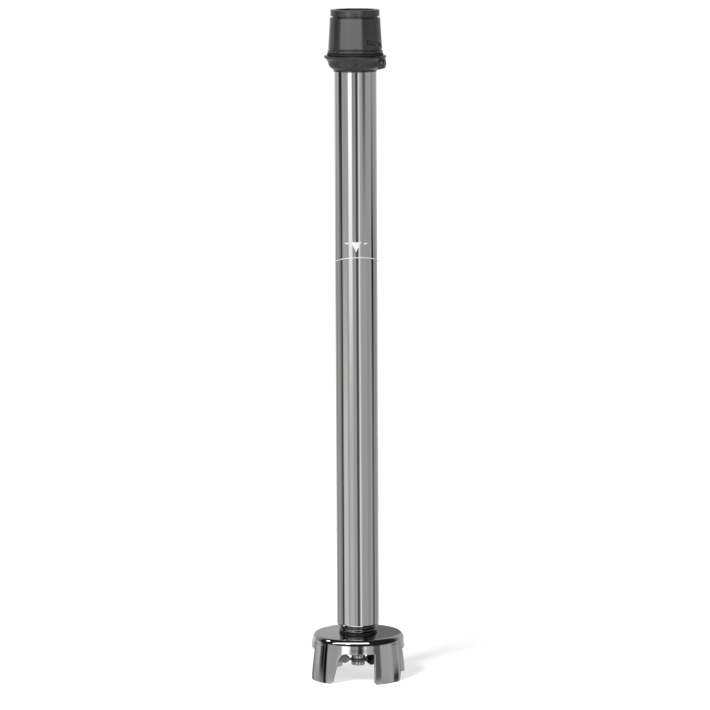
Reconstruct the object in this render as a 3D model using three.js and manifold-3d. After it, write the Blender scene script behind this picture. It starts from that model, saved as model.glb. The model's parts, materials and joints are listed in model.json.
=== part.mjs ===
// Detachable mixing tool of a commercial immersion blender.
// Millimetres, +Z up. The origin is on the tool's axis, level with the feet of the bell.
import * as THREE from 'three';
import { mergeVertices } from 'three/addons/utils/BufferGeometryUtils.js';
import Module from 'manifold-3d';

const wasm = await Module();
wasm.setup();

// ---- Driving dimensions ----

// Clearances
const fit = 0.15;                 // round a piece that sits in or on another
const gap = 0.3;                  // between two faces that rest on each other
const running = 0.12;             // round a turning shaft
const past = 2;                   // a cutter past the face that it cuts through

// Tube and overall length
const reach = 504;                // feet to the lower edge of the flange skirt
const tubeRadius = 17.5;
const tubeWall = 1.5;
const tubeEndRound = 2.2;         // inward rounding of the tube's lower end

// Bell guard
const bellHeight = 37;            // feet to the flat top
const footRadius = 41.2;          // outside, at the feet
const bellFlare = 3;              // how far the wall leans out from its shoulder to its feet
const shoulderHeight = 6.2;
const crownInset = 3.6;           // how far the flat top stands in from the wall
const bellWall = 2.4;
const bellCeiling = 3;
const legCount = 4;
const windowHeight = 25.4;
const windowUpright = 13.8;       // upright side of a window, from the window's centre line
const windowLeanFoot = 22.3;      // foot of its leaning side
const windowLeanHead = 18;        // top of the straight part of its leaning side
const windowArchRise = 9.4;       // height of the arch above the leaning side
const windowArchRun = 6.8;
const windowCorner = 1.2;
const windowReach = 4;            // window cutter past the wall, outside
const windowDepth = 11.2;         // window cutter past the wall, inside
const footRound = 2.4;

// Neck and bearing housing
const neckHeight = 6.5;           // flat top of the bell to the lower end of the tube
const neckInset = 0.3;            // neck inside the bore of the tube
const neckGroove = 1.5;           // height and depth of the groove under the tube
const housingWall = 1.45;         // round the retaining ring's groove, where the housing is thinnest
const housingShelfHeight = 2.2;   // shelf over the lower bearing
const shelfDrop = 3.7;            // lower end of the tube to the underside of that shelf
const spigotLength = 15;          // housing inside the tube
const spigotBore = 12;
const neckLand = 2;               // full-width band of the neck inside the tube
const beadCrown = 0.5;            // how far the neck's bead swells
const housingLip = 1.2;           // housing below the seal
const gasketHeight = 1;
const nutHeight = 5;
const nutWall = 5.3;
const nutNotches = 6;
const nutNotchWidth = 4;
const nutNotchDepth = 1.5;

// Ball bearings
const bearingOuter = 11;
const bearingBore = 4;
const bearingWidth = 7;
const raceDepth = 2;              // wall of the inner and outer race
const grooveInRace = 0.48;        // how far a ball sinks into each race
const innerPlay = 0.17;           // ball to the floor of the inner race's groove
const outerPlay = 0.22;
const grooveFloor = 1;            // width of a groove's floor
const ballCount = 7;
const cageWall = 0.8;
const cageRail = 0.7;

// Seal and retaining rings
const ringHeight = 1.2;
const ringSeat = 1.1;             // depth of a retaining ring's groove in the bore
const ringReach = 1.8;            // retaining ring over the face of the bearing
const ringOpening = 40;           // degrees
const shaftRingHeight = 1;
const shaftRingSeat = 0.5;
const shaftRingReach = 1.5;
const shaftRingPlay = 0.1;        // above and below the ring in its groove
const shaftRingOpening = 70;
const sealHeight = 6.5;
const sealWeb = 1.8;
const sealCase = 0.8;
const sealLipWall = 0.8;
const sealLipHeight = 4.8;
const garterRadius = 0.35;

// Shaft and blade
const shaftRadius = 5;
const spacerWall = 2.5;
const shaftHole = 2;              // round the shaft where it passes a shelf
const drillTip = 1.2;             // cone at the end of the screw's hole
const drillSpare = 1;             // hole past the end of the screw
const bladeGround = 9.4;          // feet to the lowest face of the blade stack
const capHeight = 3.2;
const bladeThickness = 2;
const hubWall = 1.8;
const hubClearance = 1.2;         // hub to the lower end of the housing
const hubFlatHeight = 3.2;        // spanner flats on the hub
const hubFlatDrop = 2.2;          // top of the hub to the middle of its flats
const hubFlatDepth = 0.6;
const capChamfer = 0.4;
const plateMargin = 0.8;          // round plate of the blade past the hub
const bladeTipClearance = 6.8;    // to the inside of the bell
const bladeChord = 13.2;
const bladePitch = 46;            // degrees
const bladeRise = 5;              // degrees
const bladeBevel = 1.8;
const bladeEdge = 0.3;            // thickness left on the cutting edge
const scallops = 3;
const scallopRadius = 2.4;
const scallopStart = 0.48;        // first scallop, and the step to the next, as shares of the blade's radius
const scallopStep = 0.16;
const scallopBite = 0.55;         // share of a scallop's radius left outside the edge
const screwRadius = 2.5;
const screwHeadRadius = 4.6;
const screwLength = 17;
const screwChamfer = 0.6;
const screwSocketRadius = 1.7;
const screwSocketDepth = 1.5;

// Guide bushes along the tube
const guideCount = 2;
const guideBushWall = 4;
const guideBushHeight = 16;
const guideCarrierHeight = 12;
const carrierChamfer = 1;

// Flange skirt and coupling
const skirtHeight = 13;
const skirtNeckWall = 0.4;        // skirt where it runs out on the tube
const skirtOverhang = 8;          // tube to the edge of the lip
const skirtLip = 1.6;
const skirtStep = 1.3;            // upright band at the skirt's lower edge
const skirtSwell = 0.11;          // how far the skirt's outline bows
const skirtFullness = 0.22;
const lipRound = 0.3;
const bossRadius = 5;
const bossRound = 2;
const bossDrop = 0.4;             // boss below the middle of its screw
const bossRoot = 1;               // boss inside the tube's outside
const bossInset = 0.5;            // end of the screw boss inside the lip
const bossAngle = 78;             // degrees from the front towards +X
const carrierScrews = 2;
const carrierScrewRadius = 2;
const carrierScrewLength = 7;
const carrierScrewRise = 7;       // lower edge of the skirt to the screws
const carrierScrewSeat = 2;       // inner end of a screw past the bearing's bore
const screwSocketHalf = 1;        // radius of the hexagon in a carrier screw
const carrierSocketDepth = 2;
const holeSpare = 0.5;            // hole in the carrier past the end of its screw
const bossHole = 0.6;             // screw hole in the skirt, round the screw
const sealRingStand = 1.1;
const sealRingHeight = 1.5;
const sealRingRound = 0.4;
const sleeveHeight = 35.3;
const sleeveSeatWall = 4.6;       // sleeve where it sits round the tube
const sleeveTaper = 1.5;          // base to the groove under the rim
const rimInset = 0.45;
const sleeveWall = 3.9;
const sleeveFoot = 7;             // depth of the sleeve's seat on the tube
const beadHeight = 2.1;
const beadStand = 0.6;
const beadRound = 0.4;
const waistInset = 0.4;           // hollow over the bead
const waistHeight = 0.5;
const waistSlope = 0.5;
const waistGap = 0.3;
const grooveHeight = 1.3;
const grooveDepth = 1.5;
const rimHeight = 5.2;
const rimChamfer = 0.5;
const rampCount = 2;
const rampStart = 27;             // degrees from the front towards +X
const rampEnd = 75;
const rampDepth = 1.4;
const rampWidth = 3;
const rampRise = 4;
const rampLift = 2.2;             // bead to the lower end of a ramp

// Bearing carrier and drive dog
const carrierSkirt = 4;           // carrier below the lower edge of the flange skirt
const bearingLift = 4.3;          // upper bearing above the lower edge of the flange skirt
const dogClearance = 1.2;         // retaining ring to the dog
const dogWall = 5;
const dogHeight = 23;
const dogSocket = 11.5;           // depth
const dogWeb = 2.2;
const dogSocketRadius = 6.2;      // to the corners of the hexagon
const dogSlot = 3.2;
const pinRadius = 1.5;
const pinRise = 4.5;              // lower end of the dog to the pin
const pinInset = 0.5;             // pin's ends inside the dog
const dogChamfer = 1;

// Smoothness
const fine = 48;
const medium = 32;
const small = 20;

// ---- Places that follow from them ----

const tubeBore = tubeRadius - tubeWall;
const boreRadius = bearingOuter + fit;
const threadRadius = boreRadius + ringSeat + housingWall;
const neckRadius = tubeBore - neckInset;
const wallTopRadius = footRadius - bellFlare;
const bladeRadius = wallTopRadius - bellWall - bladeTipClearance;
const ballRadius = (bearingOuter - bearingBore) / 2 - raceDepth + grooveInRace;
const spacerRadius = bearingBore + spacerWall;
const hubRadius = bearingBore + hubWall;
const dogRadius = bearingBore + dogWall;
const guideBushRadius = shaftRadius + guideBushWall;
const skirtLipRadius = tubeRadius + skirtOverhang;
const sleeveBaseRadius = tubeRadius + sleeveSeatWall;
const sleeveShoulderRadius = sleeveBaseRadius - sleeveTaper;
const sleeveRimRadius = sleeveShoulderRadius - rimInset;
const sealRingRadius = sleeveBaseRadius + sealRingStand;
const neckTop = bellHeight + neckHeight;
const tubeBottom = neckTop + gap;
const housingShelf = neckTop - shelfDrop;
const lowerBearing = housingShelf - gap - bearingWidth;
const housingRing = lowerBearing - gap - ringHeight;
const sealBottom = housingRing - gap - sealHeight;
const housingBottom = sealBottom - housingLip;
const hubTop = housingBottom - hubClearance;
const bladeBottom = bladeGround + capHeight + gap;
const bladeTop = bladeBottom + bladeThickness;
const spacerBottom = hubTop + gap;
const spacerTop = lowerBearing - gap;
const shaftBottom = bladeBottom + bladeThickness / 2;
const upperBearing = reach + bearingLift;
const carrierRing = upperBearing + bearingWidth + gap;
const sealRingBottom = reach + skirtHeight + gap;
const sleeveBottom = sealRingBottom + sealRingHeight + gap;
const sleeveTop = sleeveBottom + sleeveHeight;
const tubeTop = sleeveBottom + sleeveFoot;
const dogBottom = carrierRing + ringHeight + dogClearance;
const dogTop = dogBottom + dogHeight;
const dogBoreTop = dogTop - dogSocket - dogWeb;
const pinHeight = dogBottom + pinRise;
const journal = bearingBore - fit;
const pitchRadius = (bearingBore + bearingOuter) / 2;
const screwHeight = reach + carrierScrewRise;

// ---- Solids ----

function bareMesh(geometry) {
  const bare = new THREE.BufferGeometry();
  bare.setAttribute('position', geometry.getAttribute('position'));
  bare.setIndex(geometry.index);
  const merged = mergeVertices(bare, 1e-4);
  const points = merged.getAttribute('position').array;
  const corners = merged.index.array;
  const kept = [];
  let volume = 0;
  for (let i = 0; i < corners.length; i += 3) {
    const [a, b, c] = [corners[i], corners[i + 1], corners[i + 2]];
    if (a === b || b === c || c === a) continue;
    kept.push(a, b, c);
    const p = new THREE.Vector3().fromArray(points, 3 * a);
    const q = new THREE.Vector3().fromArray(points, 3 * b);
    const r = new THREE.Vector3().fromArray(points, 3 * c);
    volume += p.dot(q.cross(r));
  }
  if (volume < 0) kept.reverse();
  return new wasm.Mesh({
    numProp: 3,
    vertProperties: Float32Array.from(points),
    triVerts: Uint32Array.from(kept),
  });
}

function solidOf(geometry) {
  return new wasm.Manifold(bareMesh(geometry));
}

function geometryOf(solid) {
  const mesh = solid.getMesh();
  const geometry = new THREE.BufferGeometry();
  geometry.setAttribute('position', new THREE.BufferAttribute(mesh.vertProperties, 3));
  geometry.setIndex(new THREE.BufferAttribute(mesh.triVerts, 1));
  return geometry;
}

function cut(geometry, cutters) {
  let solid = solidOf(geometry);
  for (const cutter of cutters) solid = solid.subtract(solidOf(cutter));
  return geometryOf(solid);
}

function join(geometries) {
  const [first, ...others] = geometries.map(solidOf);
  return geometryOf(others.reduce((whole, next) => whole.add(next), first));
}

// A closed outline of [radius, height] points turned about the Z axis.
function turned(outline, segments) {
  const points = outline.map(([radius, height]) => new THREE.Vector2(radius, height));
  return new THREE.LatheGeometry([...points, points[0]], segments).rotateX(Math.PI / 2);
}

function ring(inner, outer, bottom, top, segments) {
  return turned([[inner, bottom], [outer, bottom], [outer, top], [inner, top]], segments);
}

function disc(radius, bottom, top, segments) {
  return turned([[0, bottom], [radius, bottom], [radius, top], [0, top]], segments);
}

// Points on a quarter ellipse from (radius + a, height) round to (radius, height + b).
function quarter(radius, height, a, b, steps) {
  return Array.from({ length: steps + 1 }, (_, i) => {
    const turn = (i / steps) * Math.PI / 2;
    return [radius + a * Math.cos(turn), height + b * Math.sin(turn)];
  });
}

// A radial cylinder, `angle` degrees from the front (-Y) towards +X.
function radialPin(radius, inner, outer, height, angle, segments) {
  const pin = new THREE.CylinderGeometry(radius, radius, outer - inner, segments);
  pin.translate(0, -(inner + outer) / 2, 0);
  pin.translate(0, 0, height);
  return pin.rotateZ(THREE.MathUtils.degToRad(angle));
}

function turnedAbout(geometry, degrees) {
  return geometry.clone().rotateZ(THREE.MathUtils.degToRad(degrees));
}

// A flat outline in X and Y, raised from `bottom` to `top`.
function raised(shape, bottom, top, curveSegments) {
  const settings = { depth: top - bottom, bevelEnabled: false, curveSegments };
  return new THREE.ExtrudeGeometry(shape, settings).translate(0, 0, bottom);
}

// A retaining ring: an open ring with a gap of `opening` degrees.
function retainingRing(inner, outer, bottom, height, opening) {
  const half = THREE.MathUtils.degToRad(opening / 2);
  const shape = new THREE.Shape();
  shape.absarc(0, 0, outer, half, 2 * Math.PI - half, false);
  shape.absarc(0, 0, inner, 2 * Math.PI - half, half, true);
  return raised(shape, bottom, bottom + height, small / 2);
}

// A ring that holds a ball bearing in its bore.
function boreRing(bottom) {
  const outer = boreRadius + ringSeat - fit;
  return retainingRing(bearingOuter - ringReach, outer, bottom, ringHeight, ringOpening);
}

// ---- Bell guard ----

function bellRadiusAt(height) {
  const slope = (footRadius - wallTopRadius) / (bellHeight - shoulderHeight);
  return footRadius - slope * Math.min(height, bellHeight - shoulderHeight);
}

// The window outline is drawn as it meets the outside of the bell, and narrows towards the axis.
function bellWindow() {
  const archFoot = windowHeight - windowArchRise;
  const shape = new THREE.Shape();
  shape.moveTo(-windowLeanFoot - footRound, -past);
  shape.lineTo(-windowLeanFoot - footRound, 0);
  shape.quadraticCurveTo(-windowLeanFoot, 0, -windowLeanFoot + footRound * 0.3, footRound);
  shape.lineTo(-windowLeanHead, archFoot);
  shape.bezierCurveTo(
    -windowLeanHead + 0.2 * windowArchRun, archFoot + 0.6 * windowArchRise,
    -windowLeanHead + 0.5 * windowArchRun, windowHeight,
    -windowLeanHead + windowArchRun, windowHeight,
  );
  shape.lineTo(windowUpright - windowCorner, windowHeight);
  shape.quadraticCurveTo(windowUpright, windowHeight, windowUpright, windowHeight - windowCorner);
  shape.lineTo(windowUpright, footRound);
  shape.quadraticCurveTo(windowUpright, 0, windowUpright + footRound, 0);
  shape.lineTo(windowUpright + footRound, -past);
  const near = footRadius - windowDepth;
  const far = footRadius + windowReach;
  const settings = { depth: far - near, bevelEnabled: false, curveSegments: 5 };
  const cutter = new THREE.ExtrudeGeometry(shape, settings);
  const place = cutter.getAttribute('position');
  for (let i = 0; i < place.count; i += 1) {
    const height = place.getY(i);
    const radius = near + place.getZ(i);
    place.setXYZ(i, place.getX(i) * radius / bellRadiusAt(height), -radius, height);
  }
  return cutter;
}

function bellGuard() {
  const wallTop = bellHeight - shoulderHeight;
  const crown = wallTopRadius - crownInset;
  const inside = shoulderHeight - bellCeiling;
  const body = turned([
    [threadRadius + fit, bellHeight],
    ...quarter(crown, wallTop, crownInset, shoulderHeight, 6).reverse(),
    [footRadius, 0],
    [footRadius - bellWall, 0],
    ...quarter(crown - 1, wallTop, crownInset - bellWall + 1, inside, 4),
    [threadRadius + fit, bellHeight - bellCeiling],
  ], fine);
  const windows = Array.from({ length: legCount }, (_, i) => turnedAbout(bellWindow(), i * 360 / legCount));
  return cut(body, windows);
}

function bellNut() {
  const top = bellHeight - bellCeiling - gap;
  const nutRadius = threadRadius + nutWall;
  const body = ring(threadRadius + fit, nutRadius, top - nutHeight, top, medium);
  const notch = new THREE.BoxGeometry(nutNotchWidth, 2 * nutNotchDepth, nutHeight + past);
  notch.translate(0, -nutRadius, top - nutHeight / 2);
  const step = 360 / nutNotches;
  const notches = Array.from({ length: nutNotches }, (_, i) => turnedAbout(notch, (i + 0.5) * step));
  return cut(body, notches);
}

// ---- Neck, housing and seal ----

function bearingHousing() {
  const beadBottom = bellHeight + 2 * gap + gasketHeight;
  const beadTop = neckTop - neckGroove;
  const beadMid = (beadBottom + beadTop) / 2;
  const beadHalf = (beadTop - beadBottom) / 2;
  const spigotRadius = tubeBore - fit;
  const seat = neckRadius - neckGroove;
  return turned([
    [boreRadius, housingBottom],
    [threadRadius, housingBottom],
    [threadRadius, beadBottom],
    [seat, beadBottom],
    [neckRadius - beadCrown, beadMid - 0.7 * beadHalf],
    [neckRadius, beadMid],
    [neckRadius - beadCrown, beadMid + 0.7 * beadHalf],
    [seat, beadTop],
    [seat, neckTop],
    [neckRadius, neckTop],
    [neckRadius, neckTop + neckLand],
    [spigotRadius, neckTop + neckLand + neckGroove],
    [spigotRadius, neckTop + spigotLength],
    [spigotBore, neckTop + spigotLength],
    [spigotBore, housingShelf + housingShelfHeight],
    [shaftRadius + shaftHole, housingShelf + housingShelfHeight],
    [shaftRadius + shaftHole, housingShelf],
    [boreRadius, housingShelf],
    [boreRadius, housingRing + ringHeight + fit],
    [boreRadius + ringSeat, housingRing + ringHeight + fit],
    [boreRadius + ringSeat, housingRing - fit],
    [boreRadius, housingRing - fit],
  ], medium);
}

function shaftSeal() {
  const lip = spacerRadius + running;
  return turned([
    [lip, sealBottom],
    [bearingOuter, sealBottom],
    [bearingOuter, sealBottom + sealHeight],
    [bearingOuter - sealCase, sealBottom + sealHeight],
    [bearingOuter - sealCase, sealBottom + sealWeb],
    [lip + sealLipWall, sealBottom + sealWeb],
    [lip + sealLipWall, sealBottom + sealLipHeight],
    [lip, sealBottom + sealLipHeight],
  ], small);
}

function garterSpring() {
  const middle = spacerRadius + running + sealLipWall + fit + garterRadius;
  const spring = new THREE.TorusGeometry(middle, garterRadius, 6, small);
  return spring.translate(0, 0, sealBottom + sealLipHeight - 2 * garterRadius);
}

// ---- Ball bearing, standing on z = bottom ----

function innerRace(bottom) {
  const land = bearingBore + raceDepth;
  const groove = pitchRadius - ballRadius - innerPlay;
  const middle = bottom + bearingWidth / 2;
  return turned([
    [bearingBore, bottom],
    [land, bottom],
    [land, middle - ballRadius],
    [groove, middle - grooveFloor / 2],
    [groove, middle + grooveFloor / 2],
    [land, middle + ballRadius],
    [land, bottom + bearingWidth],
    [bearingBore, bottom + bearingWidth],
  ], small);
}

function outerRace(bottom) {
  const land = bearingOuter - raceDepth;
  const groove = pitchRadius + ballRadius + outerPlay;
  const middle = bottom + bearingWidth / 2;
  return turned([
    [land, bottom],
    [bearingOuter, bottom],
    [bearingOuter, bottom + bearingWidth],
    [land, bottom + bearingWidth],
    [land, middle + ballRadius],
    [groove, middle + grooveFloor / 2],
    [groove, middle - grooveFloor / 2],
    [land, middle - ballRadius],
  ], small);
}

function bearingCage(bottom) {
  const middle = bottom + bearingWidth / 2;
  const half = ballRadius + fit;
  const body = ring(pitchRadius - cageWall / 2, pitchRadius + cageWall / 2,
    middle - half - cageRail, middle + half + cageRail, small);
  const pockets = Array.from({ length: ballCount }, (_, i) => {
    const pocket = new THREE.BoxGeometry(2 * half, 4 * cageWall, 2 * half);
    return turnedAbout(pocket.translate(0, -pitchRadius, middle), i * 360 / ballCount);
  });
  return cut(body, pockets);
}

function bearingBall(bottom, index) {
  const ball = new THREE.SphereGeometry(ballRadius, 7, 5);
  ball.translate(0, -pitchRadius, bottom + bearingWidth / 2);
  return turnedAbout(ball, index * 360 / ballCount);
}

// ---- Shaft, blade and drive ----

function shaftPinHole(outer) {
  return new THREE.CylinderGeometry(pinRadius + fit, pinRadius + fit, 2 * outer + past, 12)
    .rotateZ(Math.PI / 2)
    .translate(0, 0, pinHeight);
}

function driveShaft() {
  const shoulder = lowerBearing + bearingWidth + gap;
  const upperShoulder = upperBearing - gap;
  const ringBottom = upperBearing + bearingWidth + gap - shaftRingPlay;
  const ringTop = ringBottom + shaftRingHeight + 2 * shaftRingPlay;
  const end = dogBoreTop - gap;
  const hole = screwRadius + fit;
  const holeTop = bladeGround + screwLength + drillSpare;
  const body = turned([
    [0, holeTop + drillTip],
    [hole, holeTop],
    [hole, shaftBottom],
    [journal, shaftBottom],
    [journal, shoulder],
    [shaftRadius, shoulder],
    [shaftRadius, upperShoulder],
    [journal, upperShoulder],
    [journal, ringBottom],
    [journal - shaftRingSeat, ringBottom],
    [journal - shaftRingSeat, ringTop],
    [journal, ringTop],
    [journal, end],
    [0, end],
  ], small);
  return cut(body, [shaftPinHole(journal)]);
}

function shaftRing() {
  const bottom = upperBearing + bearingWidth + gap;
  const inner = journal - shaftRingSeat + fit;
  return retainingRing(inner, journal + shaftRingReach, bottom, shaftRingHeight, shaftRingOpening);
}

function driveDog() {
  const body = turned([
    [0, dogBoreTop],
    [bearingBore, dogBoreTop],
    [bearingBore, dogBottom],
    [dogRadius, dogBottom],
    [dogRadius, dogTop - dogChamfer],
    [dogRadius - dogChamfer, dogTop],
    [0, dogTop],
  ], small);
  const socket = new THREE.CylinderGeometry(dogSocketRadius, dogSocketRadius, dogSocket + past, 6)
    .rotateX(Math.PI / 2)
    .translate(0, 0, dogTop - (dogSocket - past) / 2);
  const slot = new THREE.BoxGeometry(2 * dogRadius + past, dogSlot, dogSlot + past)
    .translate(0, 0, dogTop - (dogSlot - past) / 2);
  return cut(body, [socket, slot, shaftPinHole(dogRadius)]);
}

function dogPin() {
  return new THREE.CylinderGeometry(pinRadius, pinRadius, 2 * (dogRadius - pinInset), 12)
    .rotateZ(Math.PI / 2)
    .translate(0, 0, pinHeight);
}

// One wing, along +X, as five-cornered sections with a bevelled cutting edge.
function bladeWing() {
  const stations = [bearingBore + 0.8, hubRadius + 0.4, hubRadius + 2.4, hubRadius + 4.6, 0.7 * bladeRadius,
    0.93 * bladeRadius, bladeRadius];
  const chordShare = [0.62, 0.72, 0.9, 1, 0.96, 0.8, 0.56];
  const pitchShare = [0, 0.15, 0.7, 1, 0.94, 0.88, 0.86];
  const rise = Math.tan(THREE.MathUtils.degToRad(bladeRise));
  const corners = [];
  stations.forEach((radius, i) => {
    const chord = bladeChord * chordShare[i];
    const pitch = THREE.MathUtils.degToRad(bladePitch * pitchShare[i]);
    const lift = (bladeBottom + bladeTop) / 2 + rise * Math.max(0, radius - stations[2]);
    const half = bladeThickness / 2;
    const outline = [
      [-chord / 2, half],
      [-chord / 2, half - bladeEdge],
      [bladeBevel - chord / 2, -half],
      [chord / 2, -half],
      [chord / 2, half],
    ];
    for (const [along, up] of outline) {
      corners.push(radius, along * Math.cos(pitch) - up * Math.sin(pitch),
        lift + along * Math.sin(pitch) + up * Math.cos(pitch));
    }
  });
  const sides = 5;
  const faces = [];
  for (let i = 0; i + 1 < stations.length; i += 1) {
    for (let j = 0; j < sides; j += 1) {
      const [a, b] = [i * sides + j, i * sides + (j + 1) % sides];
      faces.push(a, b, b + sides, a, b + sides, a + sides);
    }
  }
  const last = (stations.length - 1) * sides;
  for (let j = 1; j + 1 < sides; j += 1) {
    faces.push(0, j + 1, j);
    faces.push(last, last + j, last + j + 1);
  }
  const wing = new THREE.BufferGeometry();
  wing.setAttribute('position', new THREE.Float32BufferAttribute(corners, 3));
  wing.setIndex(faces);
  return wing;
}

// Scallops bite the cutting edge, square to the wing.
function bladeScallops() {
  const pitch = THREE.MathUtils.degToRad(bladePitch);
  const rise = Math.tan(THREE.MathUtils.degToRad(bladeRise));
  const inner = scallopStart * bladeRadius;
  const step = scallopStep * bladeRadius;
  return Array.from({ length: scallops }, (_, i) => {
    const radius = inner + i * step;
    const lift = (bladeBottom + bladeTop) / 2 + rise * (radius - hubRadius - 2.4);
    const offset = -bladeChord / 2 - scallopRadius * scallopBite;
    return new THREE.CylinderGeometry(scallopRadius, scallopRadius, 3 * bladeThickness, 12)
      .rotateX(Math.PI / 2)
      .translate(0, offset, 0)
      .rotateX(pitch)
      .translate(radius, 0, lift);
  });
}

function blade() {
  const wing = cut(bladeWing(), bladeScallops());
  const plate = disc(hubRadius + plateMargin, bladeBottom, bladeTop, small);
  const whole = join([plate, wing, turnedAbout(wing, 180)]);
  return cut(whole, [disc(bearingBore, bladeBottom - past, bladeTop + past, small)]);
}

function bladeHub() {
  const body = ring(bearingBore, hubRadius, bladeTop + gap, hubTop, small);
  const flat = new THREE.BoxGeometry(2 * hubRadius, past, hubFlatHeight)
    .translate(0, 0, hubTop - hubFlatDrop);
  const shift = hubRadius + past / 2 - hubFlatDepth;
  return cut(body, [flat.clone().translate(0, shift, 0), flat.translate(0, -shift, 0)]);
}

function bladeCap() {
  const hole = screwRadius + fit;
  const head = screwHeadRadius + fit;
  return turned([
    [head, bladeGround],
    [hubRadius - capChamfer, bladeGround],
    [hubRadius, bladeGround + capChamfer],
    [hubRadius, bladeGround + capHeight],
    [hole, bladeGround + capHeight],
    [hole, bladeGround + head - hole],
  ], small);
}

function bladeScrew() {
  const body = turned([
    [0, bladeGround],
    [screwHeadRadius, bladeGround],
    [screwRadius, bladeGround + screwHeadRadius - screwRadius],
    [screwRadius, bladeGround + screwLength - screwChamfer],
    [screwRadius - screwChamfer, bladeGround + screwLength],
    [0, bladeGround + screwLength],
  ], small);
  const socket = new THREE.CylinderGeometry(screwSocketRadius, screwSocketRadius, 2 * screwSocketDepth, 6)
    .rotateX(Math.PI / 2)
    .translate(0, 0, bladeGround);
  return cut(body, [socket]);
}

// ---- Tube, guides and bearing carrier ----

function screwHoles(radius, inner) {
  return Array.from({ length: carrierScrews }, (_, i) => radialPin(
    radius, inner, skirtLipRadius + past, screwHeight, bossAngle + i * 360 / carrierScrews, 12));
}

function outerTube() {
  const body = turned([
    [tubeBore, tubeBottom],
    [tubeRadius - 0.6 * tubeWall, tubeBottom],
    [tubeRadius - 0.2 * tubeWall, tubeBottom + 0.3 * tubeEndRound],
    [tubeRadius, tubeBottom + tubeEndRound],
    [tubeRadius, tubeTop],
    [tubeBore, tubeTop],
  ], fine);
  return cut(body, screwHoles(carrierScrewRadius + fit, shaftRadius));
}

function guideHeight(index) {
  const bottom = neckTop + spigotLength;
  const top = reach - carrierSkirt;
  return bottom + (index + 1) * (top - bottom) / (guideCount + 1);
}

function guideCarrier(index) {
  const middle = guideHeight(index);
  const half = guideCarrierHeight / 2;
  const inner = guideBushRadius + fit;
  const outer = tubeBore - fit;
  return turned([
    [inner, middle - half],
    [outer - carrierChamfer, middle - half],
    [outer, middle - half + carrierChamfer],
    [outer, middle + half - carrierChamfer],
    [outer - carrierChamfer, middle + half],
    [inner, middle + half],
  ], small);
}

function guideBush(index) {
  const middle = guideHeight(index);
  const half = guideBushHeight / 2;
  return ring(shaftRadius + running, guideBushRadius, middle - half, middle + half, small);
}

function bearingCarrier() {
  const outer = tubeBore - fit;
  const bottom = reach - carrierSkirt;
  const body = turned([
    [shaftRadius + shaftHole, bottom],
    [outer - carrierChamfer, bottom],
    [outer, bottom + carrierChamfer],
    [outer, tubeTop],
    [boreRadius, tubeTop],
    [boreRadius, carrierRing + ringHeight + fit],
    [boreRadius + ringSeat, carrierRing + ringHeight + fit],
    [boreRadius + ringSeat, carrierRing - fit],
    [boreRadius, carrierRing - fit],
    [boreRadius, upperBearing - gap],
    [shaftRadius + shaftHole, upperBearing - gap],
  ], medium);
  return cut(body, screwHoles(carrierScrewRadius + fit, boreRadius + carrierScrewSeat - holeSpare));
}

function carrierScrew(index) {
  const inner = boreRadius + carrierScrewSeat;
  const head = inner + carrierScrewLength;
  const angle = bossAngle + index * 360 / carrierScrews;
  const body = radialPin(carrierScrewRadius, inner, head, screwHeight, angle, 12);
  const socket = radialPin(screwSocketHalf, head - carrierSocketDepth, head + past, screwHeight, angle, 6);
  return cut(body, [socket]);
}

// ---- Flange skirt, seal ring and coupling sleeve ----

// Outside of the skirt: hollow near the tube, then full under the lip.
function skirtOutline() {
  const lipBottom = reach + skirtHeight - skirtLip;
  const rise = lipBottom - reach - skirtStep;
  const skirtNeckRadius = tubeRadius + skirtNeckWall;
  const spread = skirtLipRadius - skirtNeckRadius;
  const steps = 6;
  return Array.from({ length: steps + 1 }, (_, i) => {
    const t = i / steps;
    const swell = (t + skirtSwell * Math.sin(2 * Math.PI * t)) * (1 + skirtFullness * (1 - t));
    return [skirtNeckRadius + spread * swell, reach + skirtStep + rise * t];
  });
}

function screwBoss() {
  const length = skirtOverhang - bossInset - bossRoot;
  const round = quarter(bossRadius - bossRound, length - bossRound, bossRound, bossRound, 3);
  const profile = [[0, 0], [bossRadius, 0], ...round, [0, length]];
  return turned(profile, 16)
    .rotateX(Math.PI / 2)
    .translate(0, -tubeRadius - bossRoot, screwHeight - bossDrop)
    .rotateZ(THREE.MathUtils.degToRad(bossAngle));
}

function flangeSkirt() {
  const top = reach + skirtHeight;
  const body = turned([
    [tubeRadius + fit, reach],
    [tubeRadius + skirtNeckWall, reach],
    ...skirtOutline(),
    [skirtLipRadius + lipRound / 3, top - 0.5 * skirtLip],
    [skirtLipRadius - lipRound, top],
    [tubeRadius + fit, top],
  ], fine);
  return cut(join([body, screwBoss()]), screwHoles(carrierScrewRadius + bossHole, tubeRadius - bossRoot));
}

function flangeSealRing() {
  const top = sealRingBottom + sealRingHeight;
  return turned([
    [tubeRadius + fit, sealRingBottom],
    [sealRingRadius - sealRingRound, sealRingBottom],
    [sealRingRadius, sealRingBottom + sealRingHeight / 2],
    [sealRingRadius - sealRingRound, top],
    [tubeRadius + fit, top],
  ], fine);
}

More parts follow.
